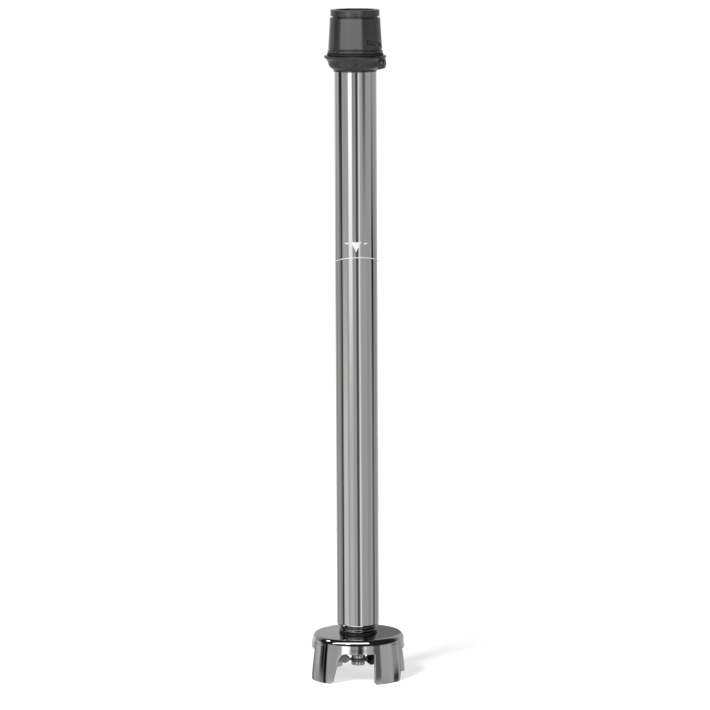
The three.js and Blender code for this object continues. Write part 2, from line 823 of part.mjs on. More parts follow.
// A bayonet ramp: a shallow channel that climbs round the sleeve.
function rampCutter(start) {
  const steps = 6;
  const deepest = sleeveBaseRadius - rampDepth;
  const outside = sleeveBaseRadius + past;
  const corners = [];
  const faces = [];
  for (let i = 0; i <= steps; i += 1) {
    const angle = THREE.MathUtils.degToRad(start + (rampEnd - rampStart) * i / steps);
    const bottom = sleeveBottom + beadHeight + rampLift + rampRise * (1 - i / steps);
    const top = bottom + rampWidth;
    for (const [radius, height] of [[deepest, bottom], [outside, bottom], [outside, top], [deepest, top]]) {
      corners.push(radius * Math.sin(angle), -radius * Math.cos(angle), height);
    }
  }
  for (let i = 0; i < steps; i += 1) {
    for (let j = 0; j < 4; j += 1) {
      const [a, b] = [4 * i + j, 4 * i + (j + 1) % 4];
      faces.push(a, b, b + 4, a, b + 4, a + 4);
    }
  }
  const end = 4 * steps;
  faces.push(0, 2, 1, 0, 3, 2);
  faces.push(end, end + 1, end + 2, end, end + 2, end + 3);
  const cutter = new THREE.BufferGeometry();
  cutter.setAttribute('position', new THREE.Float32BufferAttribute(corners, 3));
  cutter.setIndex(faces);
  return cutter;
}

function couplingSleeve() {
  const grooveTop = sleeveTop - rimHeight;
  const grooveBottom = grooveTop - grooveHeight;
  const bore = sleeveRimRadius - sleeveWall;
  const seatTop = tubeTop + gap;
  const waist = sleeveBaseRadius - waistInset;
  const beadRadius = sleeveBaseRadius + beadStand;
  const waistBottom = sleeveBottom + beadHeight + waistGap;
  const body = turned([
    [tubeRadius + fit, sleeveBottom],
    [beadRadius - beadRound, sleeveBottom],
    [beadRadius, sleeveBottom + beadRound * beadHeight],
    [beadRadius - waistGap, sleeveBottom + beadHeight],
    [waist, waistBottom],
    [waist, waistBottom + waistHeight],
    [sleeveBaseRadius, waistBottom + waistHeight + waistSlope],
    [sleeveShoulderRadius, grooveBottom],
    [sleeveRimRadius - grooveDepth, grooveBottom],
    [sleeveRimRadius - grooveDepth, grooveTop],
    [sleeveRimRadius, grooveTop],
    [sleeveRimRadius, sleeveTop - rimChamfer],
    [sleeveRimRadius - rimChamfer, sleeveTop],
    [bore, sleeveTop],
    [bore, seatTop],
    [tubeRadius + fit, seatTop],
  ], fine);
  const ramps = Array.from({ length: rampCount }, (_, i) => rampCutter(rampStart + i * 360 / rampCount));
  return cut(body, ramps);
}

// ---- Finishes ----

const steel = { color: 0xc9cacb, roughness: 0.12, metalness: 1 };
const brushed = { color: 0xb4b5b6, roughness: 0.35, metalness: 1 };
const darkSteel = { color: 0x6a6c6e, roughness: 0.3, metalness: 1 };
const blackPlastic = { color: 0x26272a, roughness: 0.45, metalness: 0 };
const blackRubber = { color: 0x151516, roughness: 0.7, metalness: 0 };
const whitePlastic = { color: 0xe6e4dc, roughness: 0.5, metalness: 0 };
const brass = { color: 0xb58f4a, roughness: 0.35, metalness: 1 };

// ---- Assembly ----

const tool = new THREE.Group();
const fixed = new THREE.Group();
const rotor = new THREE.Group();
tool.add(fixed, rotor);

function add(group, name, geometry, finish) {
  const mesh = new THREE.Mesh(geometryOf(solidOf(geometry)), new THREE.MeshStandardMaterial(finish));
  mesh.name = name;
  group.add(mesh);
}

add(fixed, 'bell_guard', bellGuard(), steel);
add(fixed, 'bell_gasket', ring(threadRadius + fit, neckRadius, bellHeight + gap,
  bellHeight + gap + gasketHeight, medium), blackRubber);
add(fixed, 'bell_lock_nut', bellNut(), brushed);
add(fixed, 'bearing_housing', bearingHousing(), darkSteel);
add(fixed, 'lower_bearing_outer_race', outerRace(lowerBearing), brushed);
add(fixed, 'housing_retaining_ring', boreRing(housingRing), darkSteel);
add(fixed, 'shaft_seal', shaftSeal(), blackRubber);
add(fixed, 'seal_garter_spring', garterSpring(), brushed);
add(fixed, 'outer_tube', outerTube(), steel);
for (let i = 0; i < guideCount; i += 1) {
  add(fixed, `guide_carrier_${i + 1}`, guideCarrier(i), blackRubber);
  add(fixed, `guide_bush_${i + 1}`, guideBush(i), whitePlastic);
}
add(fixed, 'bearing_carrier', bearingCarrier(), brushed);
add(fixed, 'upper_bearing_outer_race', outerRace(upperBearing), brushed);
add(fixed, 'carrier_retaining_ring', boreRing(carrierRing), darkSteel);
for (let i = 0; i < carrierScrews; i += 1) {
  add(fixed, `carrier_screw_${i + 1}`, carrierScrew(i), darkSteel);
}
add(fixed, 'flange_skirt', flangeSkirt(), blackPlastic);
add(fixed, 'flange_seal_ring', flangeSealRing(), blackRubber);
add(fixed, 'coupling_sleeve', couplingSleeve(), blackPlastic);

add(rotor, 'drive_shaft', driveShaft(), brushed);
add(rotor, 'drive_dog', driveDog(), brass);
add(rotor, 'dog_pin', dogPin(), darkSteel);
add(rotor, 'upper_bearing_inner_race', innerRace(upperBearing), brushed);
add(rotor, 'shaft_retaining_ring', shaftRing(), darkSteel);
add(rotor, 'lower_bearing_inner_race', innerRace(lowerBearing), brushed);
add(rotor, 'seal_spacer', ring(bearingBore, spacerRadius, spacerBottom, spacerTop, small), brushed);
add(rotor, 'blade_hub', bladeHub(), steel);
add(rotor, 'blade', blade(), steel);
add(rotor, 'blade_cap', bladeCap(), steel);
add(rotor, 'blade_screw', bladeScrew(), darkSteel);

for (const [end, bottom] of [['upper', upperBearing], ['lower', lowerBearing]]) {
  const cage = new THREE.Group();
  tool.add(cage);
  add(cage, `${end}_bearing_cage`, bearingCage(bottom), brass);
  for (let i = 0; i < ballCount; i += 1) {
    add(cage, `${end}_bearing_ball_${i + 1}`, bearingBall(bottom, i), steel);
  }
}

export default tool;
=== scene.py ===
import json
import math
import bmesh
import bpy
from mathutils import Matrix, Vector

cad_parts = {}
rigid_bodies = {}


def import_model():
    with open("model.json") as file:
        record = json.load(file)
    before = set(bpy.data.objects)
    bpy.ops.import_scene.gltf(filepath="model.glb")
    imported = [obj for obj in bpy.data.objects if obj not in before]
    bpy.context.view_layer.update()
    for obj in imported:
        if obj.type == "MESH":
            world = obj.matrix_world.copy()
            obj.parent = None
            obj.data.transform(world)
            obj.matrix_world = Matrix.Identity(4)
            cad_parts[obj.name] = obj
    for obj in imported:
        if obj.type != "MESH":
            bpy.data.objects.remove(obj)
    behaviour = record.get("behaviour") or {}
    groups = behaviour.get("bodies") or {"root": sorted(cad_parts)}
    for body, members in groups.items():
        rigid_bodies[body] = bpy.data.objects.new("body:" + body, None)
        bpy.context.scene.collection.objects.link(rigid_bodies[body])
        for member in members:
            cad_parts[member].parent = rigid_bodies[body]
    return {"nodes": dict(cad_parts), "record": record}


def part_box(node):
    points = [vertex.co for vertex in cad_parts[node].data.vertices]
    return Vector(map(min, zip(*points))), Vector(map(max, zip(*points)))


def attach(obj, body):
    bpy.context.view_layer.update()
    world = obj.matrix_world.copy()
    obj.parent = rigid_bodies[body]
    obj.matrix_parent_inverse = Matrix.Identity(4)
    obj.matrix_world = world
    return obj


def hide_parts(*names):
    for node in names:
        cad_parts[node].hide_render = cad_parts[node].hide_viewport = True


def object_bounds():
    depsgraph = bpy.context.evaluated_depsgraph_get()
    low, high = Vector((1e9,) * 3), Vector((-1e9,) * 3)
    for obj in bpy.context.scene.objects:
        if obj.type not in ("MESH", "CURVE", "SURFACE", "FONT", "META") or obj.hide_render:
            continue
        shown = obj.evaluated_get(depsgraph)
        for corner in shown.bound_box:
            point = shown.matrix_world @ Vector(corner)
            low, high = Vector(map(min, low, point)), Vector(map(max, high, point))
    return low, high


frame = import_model()
cadLow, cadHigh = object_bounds()

# The mixing tool of a large immersion blender: steel tube and bell, plastic coupling, blade and drive.
# Outlines are in millimetres, as (radius, height) or (radius, height, rounding); meshes are in metres.
mm = 0.001
gap = 0.3  # between faces that rest on each other
fit = 0.15  # round what sits in a bore
weld = 0.002  # points nearer than this become one


def place(node):
    low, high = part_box(node)
    reach = max(-low.x, -low.y, high.x, high.y)
    return {"bottom": low.z / mm, "top": high.z / mm, "radius": reach / mm}


def smooth(low, high, value):
    share = min(1.0, max(0.0, (value - low) / (high - low)))
    return share * share * (3 - 2 * share)


# Shader maths.

class Wire:
    # one socket of a node tree, with the operators that its sums need
    def __init__(self, book, socket):
        self.book = book
        self.socket = socket

    def combine(self, operation, first, second):
        return self.book.add("ShaderNodeMath", {"operation": operation}, {0: first, 1: second})

    def __add__(self, other):
        return self.combine("ADD", self, other)

    def __radd__(self, other):
        return self.combine("ADD", other, self)

    def __sub__(self, other):
        return self.combine("SUBTRACT", self, other)

    def __rsub__(self, other):
        return self.combine("SUBTRACT", other, self)

    def __mul__(self, other):
        return self.combine("MULTIPLY", self, other)

    def __rmul__(self, other):
        return self.combine("MULTIPLY", other, self)

    def __truediv__(self, other):
        return self.combine("DIVIDE", self, other)

    def __rtruediv__(self, other):
        return self.combine("DIVIDE", other, self)

    def __pow__(self, other):
        return self.combine("POWER", self, other)

    def __neg__(self):
        return self.combine("MULTIPLY", self, -1.0)

    def __abs__(self):
        return self.book.add("ShaderNodeMath", {"operation": "ABSOLUTE"}, {0: self})

    def clip(self):
        return self.book.add("ShaderNodeClamp", {}, {"Value": self})


class NodeBook:
    def __init__(self, tree):
        self.tree = tree
        tree.nodes.clear()

    def add(self, kind, settings, values, output=0):
        node = self.tree.nodes.new(kind)
        for name, value in settings.items():
            setattr(node, name, value)
        for key, value in values.items():
            socket = self.find(node.inputs, key)
            if isinstance(value, Wire):
                self.tree.links.new(value.socket, socket)
            else:
                socket.default_value = value
        return Wire(self, self.find(node.outputs, output)) if len(node.outputs) else None

    def find(self, sockets, key):
        if isinstance(key, int):
            return sockets[key]
        return next(s for s in sockets if key in (s.identifier, s.name))

    def split(self, vector):
        parts = self.add("ShaderNodeSeparateXYZ", {}, {0: vector})
        sockets = parts.socket.node.outputs
        return [Wire(self, sockets[i]) for i in range(3)]

    def noise(self, vector, size, detail=3.0, rough=0.5):
        values = {"Vector": vector, "Scale": size, "Detail": detail, "Roughness": rough}
        return self.add("ShaderNodeTexNoise", {}, values, "Fac")

    def stretched(self, vector, scale):
        return self.add("ShaderNodeMapping", {}, {"Vector": vector, "Scale": scale})

    def tint(self, factor, first, second):
        values = {"Factor_Float": factor, "A_Color": (*first, 1), "B_Color": (*second, 1)}
        return self.add("ShaderNodeMix", {"data_type": "RGBA"}, values, "Result_Color")


finishes = {}
white = (1, 1, 1, 1)


def newFinish(name):
    material = bpy.data.materials.new(name)
    material.use_nodes = True
    book = NodeBook(material.node_tree)
    finishes[name] = material
    spot = book.add("ShaderNodeTexCoord", {}, {}, "Object")
    return book, spot


def closeFinish(book, shader):
    book.add("ShaderNodeOutputMaterial", {}, {"Surface": shader})


# Marks run along the piece or round it; either is a streaky noise.
def marksOf(book, spot, look):
    if look["marks"] == "along":
        return book.noise(book.stretched(spot, look["stretch"]), 1.0, 4.0, 0.6)
    x, y, z = book.split(spot)
    radius = (x * x + y * y) ** 0.5
    rings = book.add("ShaderNodeCombineXYZ", {}, {0: radius * look["stretch"][0], 1: z * look["stretch"][2]})
    return book.noise(rings, 1.0, 3.0, 0.55)


smears = {"stretch": (60, 60, 14), "from": 0.55, "gain": 6.0}


def metalFinish(name, look):
    book, spot = newFinish(name)
    marks = marksOf(book, spot, look)
    clouds = book.noise(spot, look["cloudSize"], 4.0, 0.6)
    smeared = book.noise(book.stretched(spot, smears["stretch"]), 1.0, 5.0, 0.65)
    colour = book.tint(clouds, look["dark"], look["light"])
    rough = look["rough"] + look["cloudy"] * (clouds - 0.5) + look["streaky"] * (marks - 0.5)
    rough = (rough + look["smeared"] * ((smeared - smears["from"]) * smears["gain"]).clip()).clip()
    bump = book.add("ShaderNodeBump", {}, {
        "Strength": look["bump"], "Distance": look["depth"] * mm, "Height": marks})
    shader = book.add("ShaderNodeBsdfPrincipled", {}, {
        "Base Color": colour, "Metallic": 1.0, "Roughness": rough, "Normal": bump})
    closeFinish(book, shader)


# Convex edges are lightened partly as rubbed wear and partly as a painted highlight along the edges; scuffs
# are real wear.
wearAndSheen = {"edgeFrom": 0.52, "edgeGain": 9.0, "scuffFrom": 0.6, "scuffGain": 5.0,
        "cloudShare": 0.55, "edgeShare": 0.6, "scuffShare": 0.35, "grainRough": 0.12}


def plasticFinish(name, look):
    book, spot = newFinish(name)
    grain = book.noise(spot, look["grainSize"], 3.0, 0.6)
    clouds = book.noise(spot, look["cloudSize"], 4.0, 0.6)
    scuffs = book.noise(book.stretched(spot, look["scuff"]), 1.0, 5.0, 0.7)
    # Lighter convex edges: part rubbed wear, part painted highlight along the edges.
    edgePointiness = book.add("ShaderNodeNewGeometry", {}, {}, "Pointiness")
    edges = ((edgePointiness - wearAndSheen["edgeFrom"]) * wearAndSheen["edgeGain"]).clip()
    mark = ((scuffs - wearAndSheen["scuffFrom"]) * wearAndSheen["scuffGain"]).clip()
    share = wearAndSheen["cloudShare"] * clouds + wearAndSheen["edgeShare"] * edges * look["edgeWearAndSheen"]
    share = (share + wearAndSheen["scuffShare"] * mark).clip()
    colour = book.tint(share, look["dark"], look["light"])
    rough = look["rough"] + look["cloudy"] * (clouds - 0.5) + wearAndSheen["grainRough"] * (grain - 0.5)
    rough = rough + look["scuffed"] * mark
    bump = book.add("ShaderNodeBump", {}, {
        "Strength": look["bump"], "Distance": look["depth"] * mm, "Height": grain})
    shader = book.add("ShaderNodeBsdfPrincipled", {}, {
        "Base Color": colour, "Roughness": rough.clip(), "Normal": bump, "Specular IOR Level": look["shine"]})
    closeFinish(book, shader)


metalLooks = {
    "tubeSteel": {
        "marks": "along", "stretch": (420, 420, 9), "cloudSize": 22, "dark": (0.60, 0.605, 0.61),
        "light": (0.66, 0.665, 0.67), "rough": 0.062, "cloudy": 0.035, "streaky": 0.05, "smeared": 0.03,
        "bump": 0.10, "depth": 0.02},
    "bellSteel": {
        "marks": "round", "stretch": (900, 900, 900), "cloudSize": 45, "dark": (0.60, 0.605, 0.61),
        "light": (0.68, 0.685, 0.69), "rough": 0.07, "cloudy": 0.04, "streaky": 0.04, "smeared": 0.03,
        "bump": 0.08, "depth": 0.02},
    # A darkened copy of the steel: the neck's dark look is painted shade and painted dark reflection.
    "neckSteel": {
        "marks": "round", "stretch": (1200, 1200, 1200), "cloudSize": 90, "dark": (0.17, 0.17, 0.17),
        "light": (0.26, 0.26, 0.26), "rough": 0.12, "cloudy": 0.05, "streaky": 0.05, "smeared": 0.03,
        "bump": 0.1, "depth": 0.02},
    "turnedSteel": {
        "marks": "round", "stretch": (2200, 2200, 2200), "cloudSize": 120, "dark": (0.52, 0.52, 0.53),
        "light": (0.64, 0.64, 0.65), "rough": 0.22, "cloudy": 0.08, "streaky": 0.14, "smeared": 0.05,
        "bump": 0.25, "depth": 0.03},
    "darkSteel": {
        "marks": "round", "stretch": (1800, 1800, 1800), "cloudSize": 150, "dark": (0.16, 0.165, 0.17),
        "light": (0.27, 0.275, 0.28), "rough": 0.27, "cloudy": 0.1, "streaky": 0.1, "smeared": 0.06,
        "bump": 0.2, "depth": 0.03},
    # A darkened copy of the steel: the blade's dark look is painted shade from inside the bell.
    "bladeSteel": {
        "marks": "along", "stretch": (90, 2600, 2600), "cloudSize": 90, "dark": (0.17, 0.17, 0.17),
        "light": (0.29, 0.29, 0.285), "rough": 0.16, "cloudy": 0.06, "streaky": 0.12, "smeared": 0.05,
        "bump": 0.22, "depth": 0.03},
    "bronzeMetal": {
        "marks": "round", "stretch": (2000, 2000, 2000), "cloudSize": 140, "dark": (0.40, 0.25, 0.09),
        "light": (0.62, 0.43, 0.19), "rough": 0.25, "cloudy": 0.1, "streaky": 0.12, "smeared": 0.06,
        "bump": 0.22, "depth": 0.03},
}
plasticLooks = {
    "sleevePlastic": {
        "grainSize": 2200, "cloudSize": 60, "scuff": (260, 260, 60), "dark": (0.014, 0.014, 0.0145),
        "light": (0.04, 0.04, 0.04), "rough": 0.15, "cloudy": 0.08, "scuffed": 0.08, "edgeWearAndSheen": 1.0,
        "bump": 0.3, "depth": 0.04, "shine": 0.62},
    "sealRubber": {
        "grainSize": 1600, "cloudSize": 80, "scuff": (200, 200, 200), "dark": (0.012, 0.012, 0.013),
        "light": (0.035, 0.035, 0.036), "rough": 0.55, "cloudy": 0.12, "scuffed": 0.1, "edgeWearAndSheen": 0.4,
        "bump": 0.4, "depth": 0.05, "shine": 0.35},
    "bushPlastic": {
        "grainSize": 2600, "cloudSize": 70, "scuff": (300, 300, 60), "dark": (0.62, 0.60, 0.54),
        "light": (0.80, 0.78, 0.72), "rough": 0.42, "cloudy": 0.1, "scuffed": 0.08, "edgeWearAndSheen": 0.3,
        "bump": 0.25, "depth": 0.04, "shine": 0.5},
    "printWhite": {
        "grainSize": 3200, "cloudSize": 90, "scuff": (400, 400, 400), "dark": (0.50, 0.50, 0.495),
        "light": (0.68, 0.68, 0.67), "rough": 0.4, "cloudy": 0.1, "scuffed": 0.08, "edgeWearAndSheen": 0.2,
        "bump": 0.15, "depth": 0.02, "shine": 0.5},
}
for name, look in metalLooks.items():
    metalFinish(name, look)
for name, look in plasticLooks.items():
    plasticFinish(name, look)
finishOfSlot = {
    "polished_steel": "tubeSteel", "machined_steel": "turnedSteel", "dark_steel": "darkSteel",
    "black_plastic": "sleevePlastic", "black_rubber": "sealRubber", "white_plastic": "bushPlastic",
    "bronze": "bronzeMetal"}
print("finishes made:", len(finishes))


# Mesh tools.

def closeMesh(piece, sharpAngle=38):
    tidy = bmesh.new()
    tidy.from_mesh(piece.data)
    bmesh.ops.remove_doubles(tidy, verts=tidy.verts, dist=weld * mm)
    loose = [edge for edge in tidy.edges if not edge.link_faces]
    bmesh.ops.delete(tidy, geom=loose, context="EDGES")
    bmesh.ops.recalc_face_normals(tidy, faces=tidy.faces)
    tidy.to_mesh(piece.data)
    tidy.free()
    shadeSmooth(piece, sharpAngle)
    return piece


def shadeSmooth(piece, sharpAngle=38):
    piece.data.polygons.foreach_set("use_smooth", [True] * len(piece.data.polygons))
    piece.data.set_sharp_from_angle(angle=math.radians(sharpAngle))


def newPiece(name, points, faces):
    mesh = bpy.data.meshes.new(name)
    mesh.from_pydata(points, [], faces)
    piece = bpy.data.objects.new(name, mesh)
    bpy.context.scene.collection.objects.link(piece)
    return closeMesh(piece)


# A corner's rounding becomes a curve that takes less than half of each side beside it.
def rounded(corners, steps=5):
    points = []
    for i, corner in enumerate(corners):
        here = Vector(corner[:2])
        soft = corner[2] if len(corner) > 2 else 0
        if soft == 0:
            points.append(here)
            continue
        before = Vector(corners[i - 1][:2]) - here
        after = Vector(corners[(i + 1) % len(corners)][:2]) - here
        start = here + before.normalized() * min(soft, 0.48 * before.length)
        end = here + after.normalized() * min(soft, 0.48 * after.length)
        for k in range(steps + 1):
            t = k / steps
            points.append(start * (1 - t) ** 2 + here * 2 * t * (1 - t) + end * t ** 2)
    return points


# Long straight stretches are cut into steps no longer than `longest`.
def fineRows(points, longest):
    rows = []
    for i, point in enumerate(points):
        here, after = Vector(point), Vector(points[(i + 1) % len(points)])
        parts = max(1, math.ceil((after - here).length / longest))
        rows += [here.lerp(after, k / parts) for k in range(parts)]
    return rows


def turned(name, outline, around=160, reshape=None):
    points = []
    for i in range(around):
        turn = 2 * math.pi * i / around
        for radius, height in outline:
            if reshape:
                radius = reshape(turn, radius, height)
            points.append((radius * math.sin(turn) * mm, -radius * math.cos(turn) * mm, height * mm))
    count = len(outline)
    faces = []
    for i in range(around):
        a, b = i * count, (i + 1) % around * count
        for j in range(count):
            k = (j + 1) % count
            faces.append((a + j, a + k, b + k, b + j))
    return newPiece(name, points, faces)


# A ring of plain section that fills its place from `inner` outwards. Its four roundings are
# at the low inside, low outside, high outside and high inside corners.
def ring(name, spot, inner, soft, around=128, steps=5):
    low, high, outer = spot["bottom"], spot["top"], spot["radius"]
    outline = [(inner, low, soft[0]), (outer, low, soft[1]), (outer, high, soft[2]), (inner, high, soft[3])]
    return turned(name, rounded(outline, steps), around)


def prism(name, sides, radius, bottom, top, start=0.0):
    turns = [2 * math.pi * i / sides + start for i in range(sides)]
    points = [(radius * math.sin(a) * mm, -radius * math.cos(a) * mm, z * mm)
              for z in (bottom, top) for a in turns]
    faces = [tuple(range(sides)), tuple(range(sides, 2 * sides))]
    faces += [(i, (i + 1) % sides, sides + (i + 1) % sides, sides + i) for i in range(sides)]
    return newPiece(name, points, faces)


def block(name, low, high):
    corners = [(x * mm, y * mm, z * mm)
               for z in (low[2], high[2]) for y in (low[1], high[1]) for x in (low[0], high[0])]
    faces = [(0, 1, 3, 2), (4, 5, 7, 6), (0, 1, 5, 4), (2, 3, 7, 6), (0, 2, 6, 4), (1, 3, 7, 5)]
    return newPiece(name, corners, faces)


# Lays a piece that was made about Z along a radius, `angle` degrees from the front towards +X.
def laidOut(piece, height, angle):
    move = Matrix.Rotation(math.radians(angle), 4, "Z") @ Matrix.Translation((0, 0, height * mm))
    piece.data.transform(move @ Matrix.Rotation(math.radians(90), 4, "X"))
    return piece


# The modifiers' result becomes the piece's own mesh.
def settle(piece, sharpAngle=38):
    shown = piece.evaluated_get(bpy.context.evaluated_depsgraph_get())
    mesh = bpy.data.meshes.new_from_object(shown)
    piece.modifiers.clear()
    old = piece.data
    piece.data = mesh
    bpy.data.meshes.remove(old)
    piece.data.name = piece.name
    shadeSmooth(piece, sharpAngle)
    return piece


def carve(piece, cutters, operation="DIFFERENCE"):
    for cutter in cutters:
        change = piece.modifiers.new("carve", "BOOLEAN")
        change.operation = operation
        change.solver = "EXACT"
        change.object = cutter
    bpy.context.view_layer.update()
    settle(piece)
    for cutter in cutters:
        bpy.data.objects.remove(cutter)
    return piece


def breakEdges(piece, width, segments=2, angle=34):
    change = piece.modifiers.new("edges", "BEVEL")
    change.width = width * mm
    change.segments = segments
    change.limit_method = "ANGLE"
    change.angle_limit = math.radians(angle)
    bpy.context.view_layer.update()
    return settle(piece, 50)


slotOfNode = {row["node"]: row["material_slot"] for row in frame["record"]["subparts"]}
bodyOfNode = {node: body for body, nodes in frame["record"]["behaviour"]["bodies"].items() for node in nodes}


def fitPiece(piece, nodes, finish=None):
    piece.data.materials.clear()
    piece.data.materials.append(finishes[finish or finishOfSlot[slotOfNode[nodes[0]]]])
    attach(piece, bodyOfNode[nodes[0]])
    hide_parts(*nodes)
    return piece


# Geometry Nodes.

class GeometryBook(NodeBook):
    def __init__(self, name, inputs):
        tree = bpy.data.node_groups.new(name, "GeometryNodeTree")
        super().__init__(tree)
        tree.interface.new_socket("Geometry", in_out="INPUT", socket_type="NodeSocketGeometry")
        for label, kind, value in inputs:
            socket = tree.interface.new_socket(label, in_out="INPUT", socket_type=kind)
            if value is not None:
                socket.default_value = value
        tree.interface.new_socket("Geometry", in_out="OUTPUT", socket_type="NodeSocketGeometry")
        self.entry = tree.nodes.new("NodeGroupInput")
        sockets = [item for item in tree.interface.items_tree if item.in_out == "INPUT"]
        self.ids = {socket.name: socket.identifier for socket in sockets}

    def given(self, label):
        return Wire(self, self.find(self.entry.outputs, label))

    def close(self, shape):
        real = self.add("GeometryNodeRealizeInstances", {}, {0: shape})
        dressed = self.add("GeometryNodeSetMaterial", {}, {
            "Geometry": real, "Material": self.given("Material")})
        self.add("NodeGroupOutput", {}, {0: dressed})


def grow(piece, book, values):
    change = piece.modifiers.new("grow", "NODES")
    change.node_group = book.tree
    for label, value in values.items():
        change[book.ids[label]] = value
    bpy.context.view_layer.update()
    return settle(piece)


# Copies of a shape, set evenly round Z.
def roundTree():
    book = GeometryBook("repeatRound", [
        ("Count", "NodeSocketInt", 7), ("Start", "NodeSocketFloat", 0.0),
        ("Material", "NodeSocketMaterial", None)])
    count = book.given("Count")
    spots = book.add("GeometryNodePoints", {}, {"Count": count})
    turn = book.add("GeometryNodeInputIndex", {}, {}) * (2 * math.pi) / count + book.given("Start")
    spin = book.add("ShaderNodeCombineXYZ", {}, {2: turn})
    copies = book.add("GeometryNodeInstanceOnPoints", {}, {
        "Points": spots, "Instance": book.given("Geometry"), "Rotation": spin})
    book.close(copies)
    return book


# A flat ribbon that runs once round the tube, tilted, so that it rises at the front.
def ribbonTree():
    book = GeometryBook("tiltedRibbon", [
        ("Radius", "NodeSocketFloat", 0.0175), ("Height", "NodeSocketFloat", 0.35),
        ("Tilt", "NodeSocketFloat", 0.005), ("Width", "NodeSocketFloat", 0.001),
        ("Thickness", "NodeSocketFloat", 0.0001), ("Material", "NodeSocketMaterial", None)])
    loop = book.add("GeometryNodeCurvePrimitiveCircle", {"mode": "RADIUS"}, {
        "Resolution": 288, "Radius": book.given("Radius")})
    y = book.split(book.add("GeometryNodeInputPosition", {}, {}))[1]
    lift = book.given("Height") - y / book.given("Radius") * book.given("Tilt")
    offset = book.add("ShaderNodeCombineXYZ", {}, {2: lift})
    raised = book.add("GeometryNodeSetPosition", {}, {"Geometry": loop, "Offset": offset})
    upright = book.add("GeometryNodeSetCurveNormal", {"mode": "Z_UP"}, {0: raised})
    section = book.add("GeometryNodeCurvePrimitiveQuadrilateral", {"mode": "RECTANGLE"}, {
        "Width": book.given("Thickness"), "Height": book.given("Width")})
    book.close(book.add("GeometryNodeCurveToMesh", {}, {0: upright, "Profile Curve": section}))
    return book


# A wire wound in turns about a ring.
def coilTree():
    book = GeometryBook("woundRing", [
        ("Radius", "NodeSocketFloat", 0.008), ("Coil", "NodeSocketFloat", 0.0003),
        ("Wire", "NodeSocketFloat", 0.0001), ("Turns", "NodeSocketInt", 60),
        ("Height", "NodeSocketFloat", 0.0), ("Material", "NodeSocketMaterial", None)])
    steps = 900
    loop = book.add("GeometryNodeCurvePrimitiveCircle", {"mode": "RADIUS"}, {
        "Resolution": steps, "Radius": 1.0})
    share = book.add("GeometryNodeInputIndex", {}, {}) * (2 * math.pi / steps)
    wound = share * book.given("Turns")
    across = book.add("ShaderNodeMath", {"operation": "COSINE"}, {0: wound}) * book.given("Coil")
    along = book.add("ShaderNodeMath", {"operation": "SINE"}, {0: wound}) * book.given("Coil")
    reach = book.given("Radius") + across
    x = book.add("ShaderNodeMath", {"operation": "COSINE"}, {0: share}) * reach
    y = book.add("ShaderNodeMath", {"operation": "SINE"}, {0: share}) * reach
    spot = book.add("ShaderNodeCombineXYZ", {}, {0: x, 1: y, 2: along + book.given("Height")})
    bent = book.add("GeometryNodeSetPosition", {}, {"Geometry": loop, "Position": spot})
    section = book.add("GeometryNodeCurvePrimitiveCircle", {"mode": "RADIUS"}, {
        "Resolution": 6, "Radius": book.given("Wire")})
    book.close(book.add("GeometryNodeCurveToMesh", {}, {0: bent, "Profile Curve": section}))
    return book


repeatRound = roundTree()
tiltedRibbon = ribbonTree()
woundRing = coilTree()
print("node trees made")


# Bell guard.

bell = {"legs": 4, "foot": 41.2, "wallTop": 38.2, "wallCurve": 1.35, "shoulder": 6.2, "crown": 34.6,
        "wall": 2.4, "ceiling": 3.0, "upright": 13.8, "leanFoot": 22.3, "leanHead": 18.0, "archRise": 9.4,
        "archRun": 6.8, "windowHeight": 25.4, "corner": 1.2, "footRound": 2.4, "edge": 0.42,
        "legColumns": 30, "windowColumns": 22, "hole": 13.85, "footSteps": 6, "legSteps": 8, "archSteps": 18,
        "wallSteps": 4, "shoulderSteps": 12, "crownSteps": 8}


def bellWindowEdges(height):
    # half-widths of a window at a height, on its upright and on its leaning side
    archFoot = bell["windowHeight"] - bell["archRise"]
    upright = bell["upright"]
    lean = bell["leanFoot"] + (bell["leanHead"] - bell["leanFoot"]) * min(1.0, height / archFoot)
    if height > archFoot:
        t = min(1.0, (height - archFoot) / bell["archRise"])
        lean -= bell["archRun"] * (1 - math.sqrt(1 - t * t))
    cornerFoot = bell["windowHeight"] - bell["corner"]
    if height > cornerFoot:
        t = min(1.0, (height - cornerFoot) / bell["corner"])
        upright -= bell["corner"] * (1 - math.sqrt(1 - t * t))
    if height < bell["footRound"]:
        t = 1 - height / bell["footRound"]
        widen = bell["footRound"] * (1 - math.sqrt(1 - t * t))
        upright += widen
        lean += widen
    return upright, lean


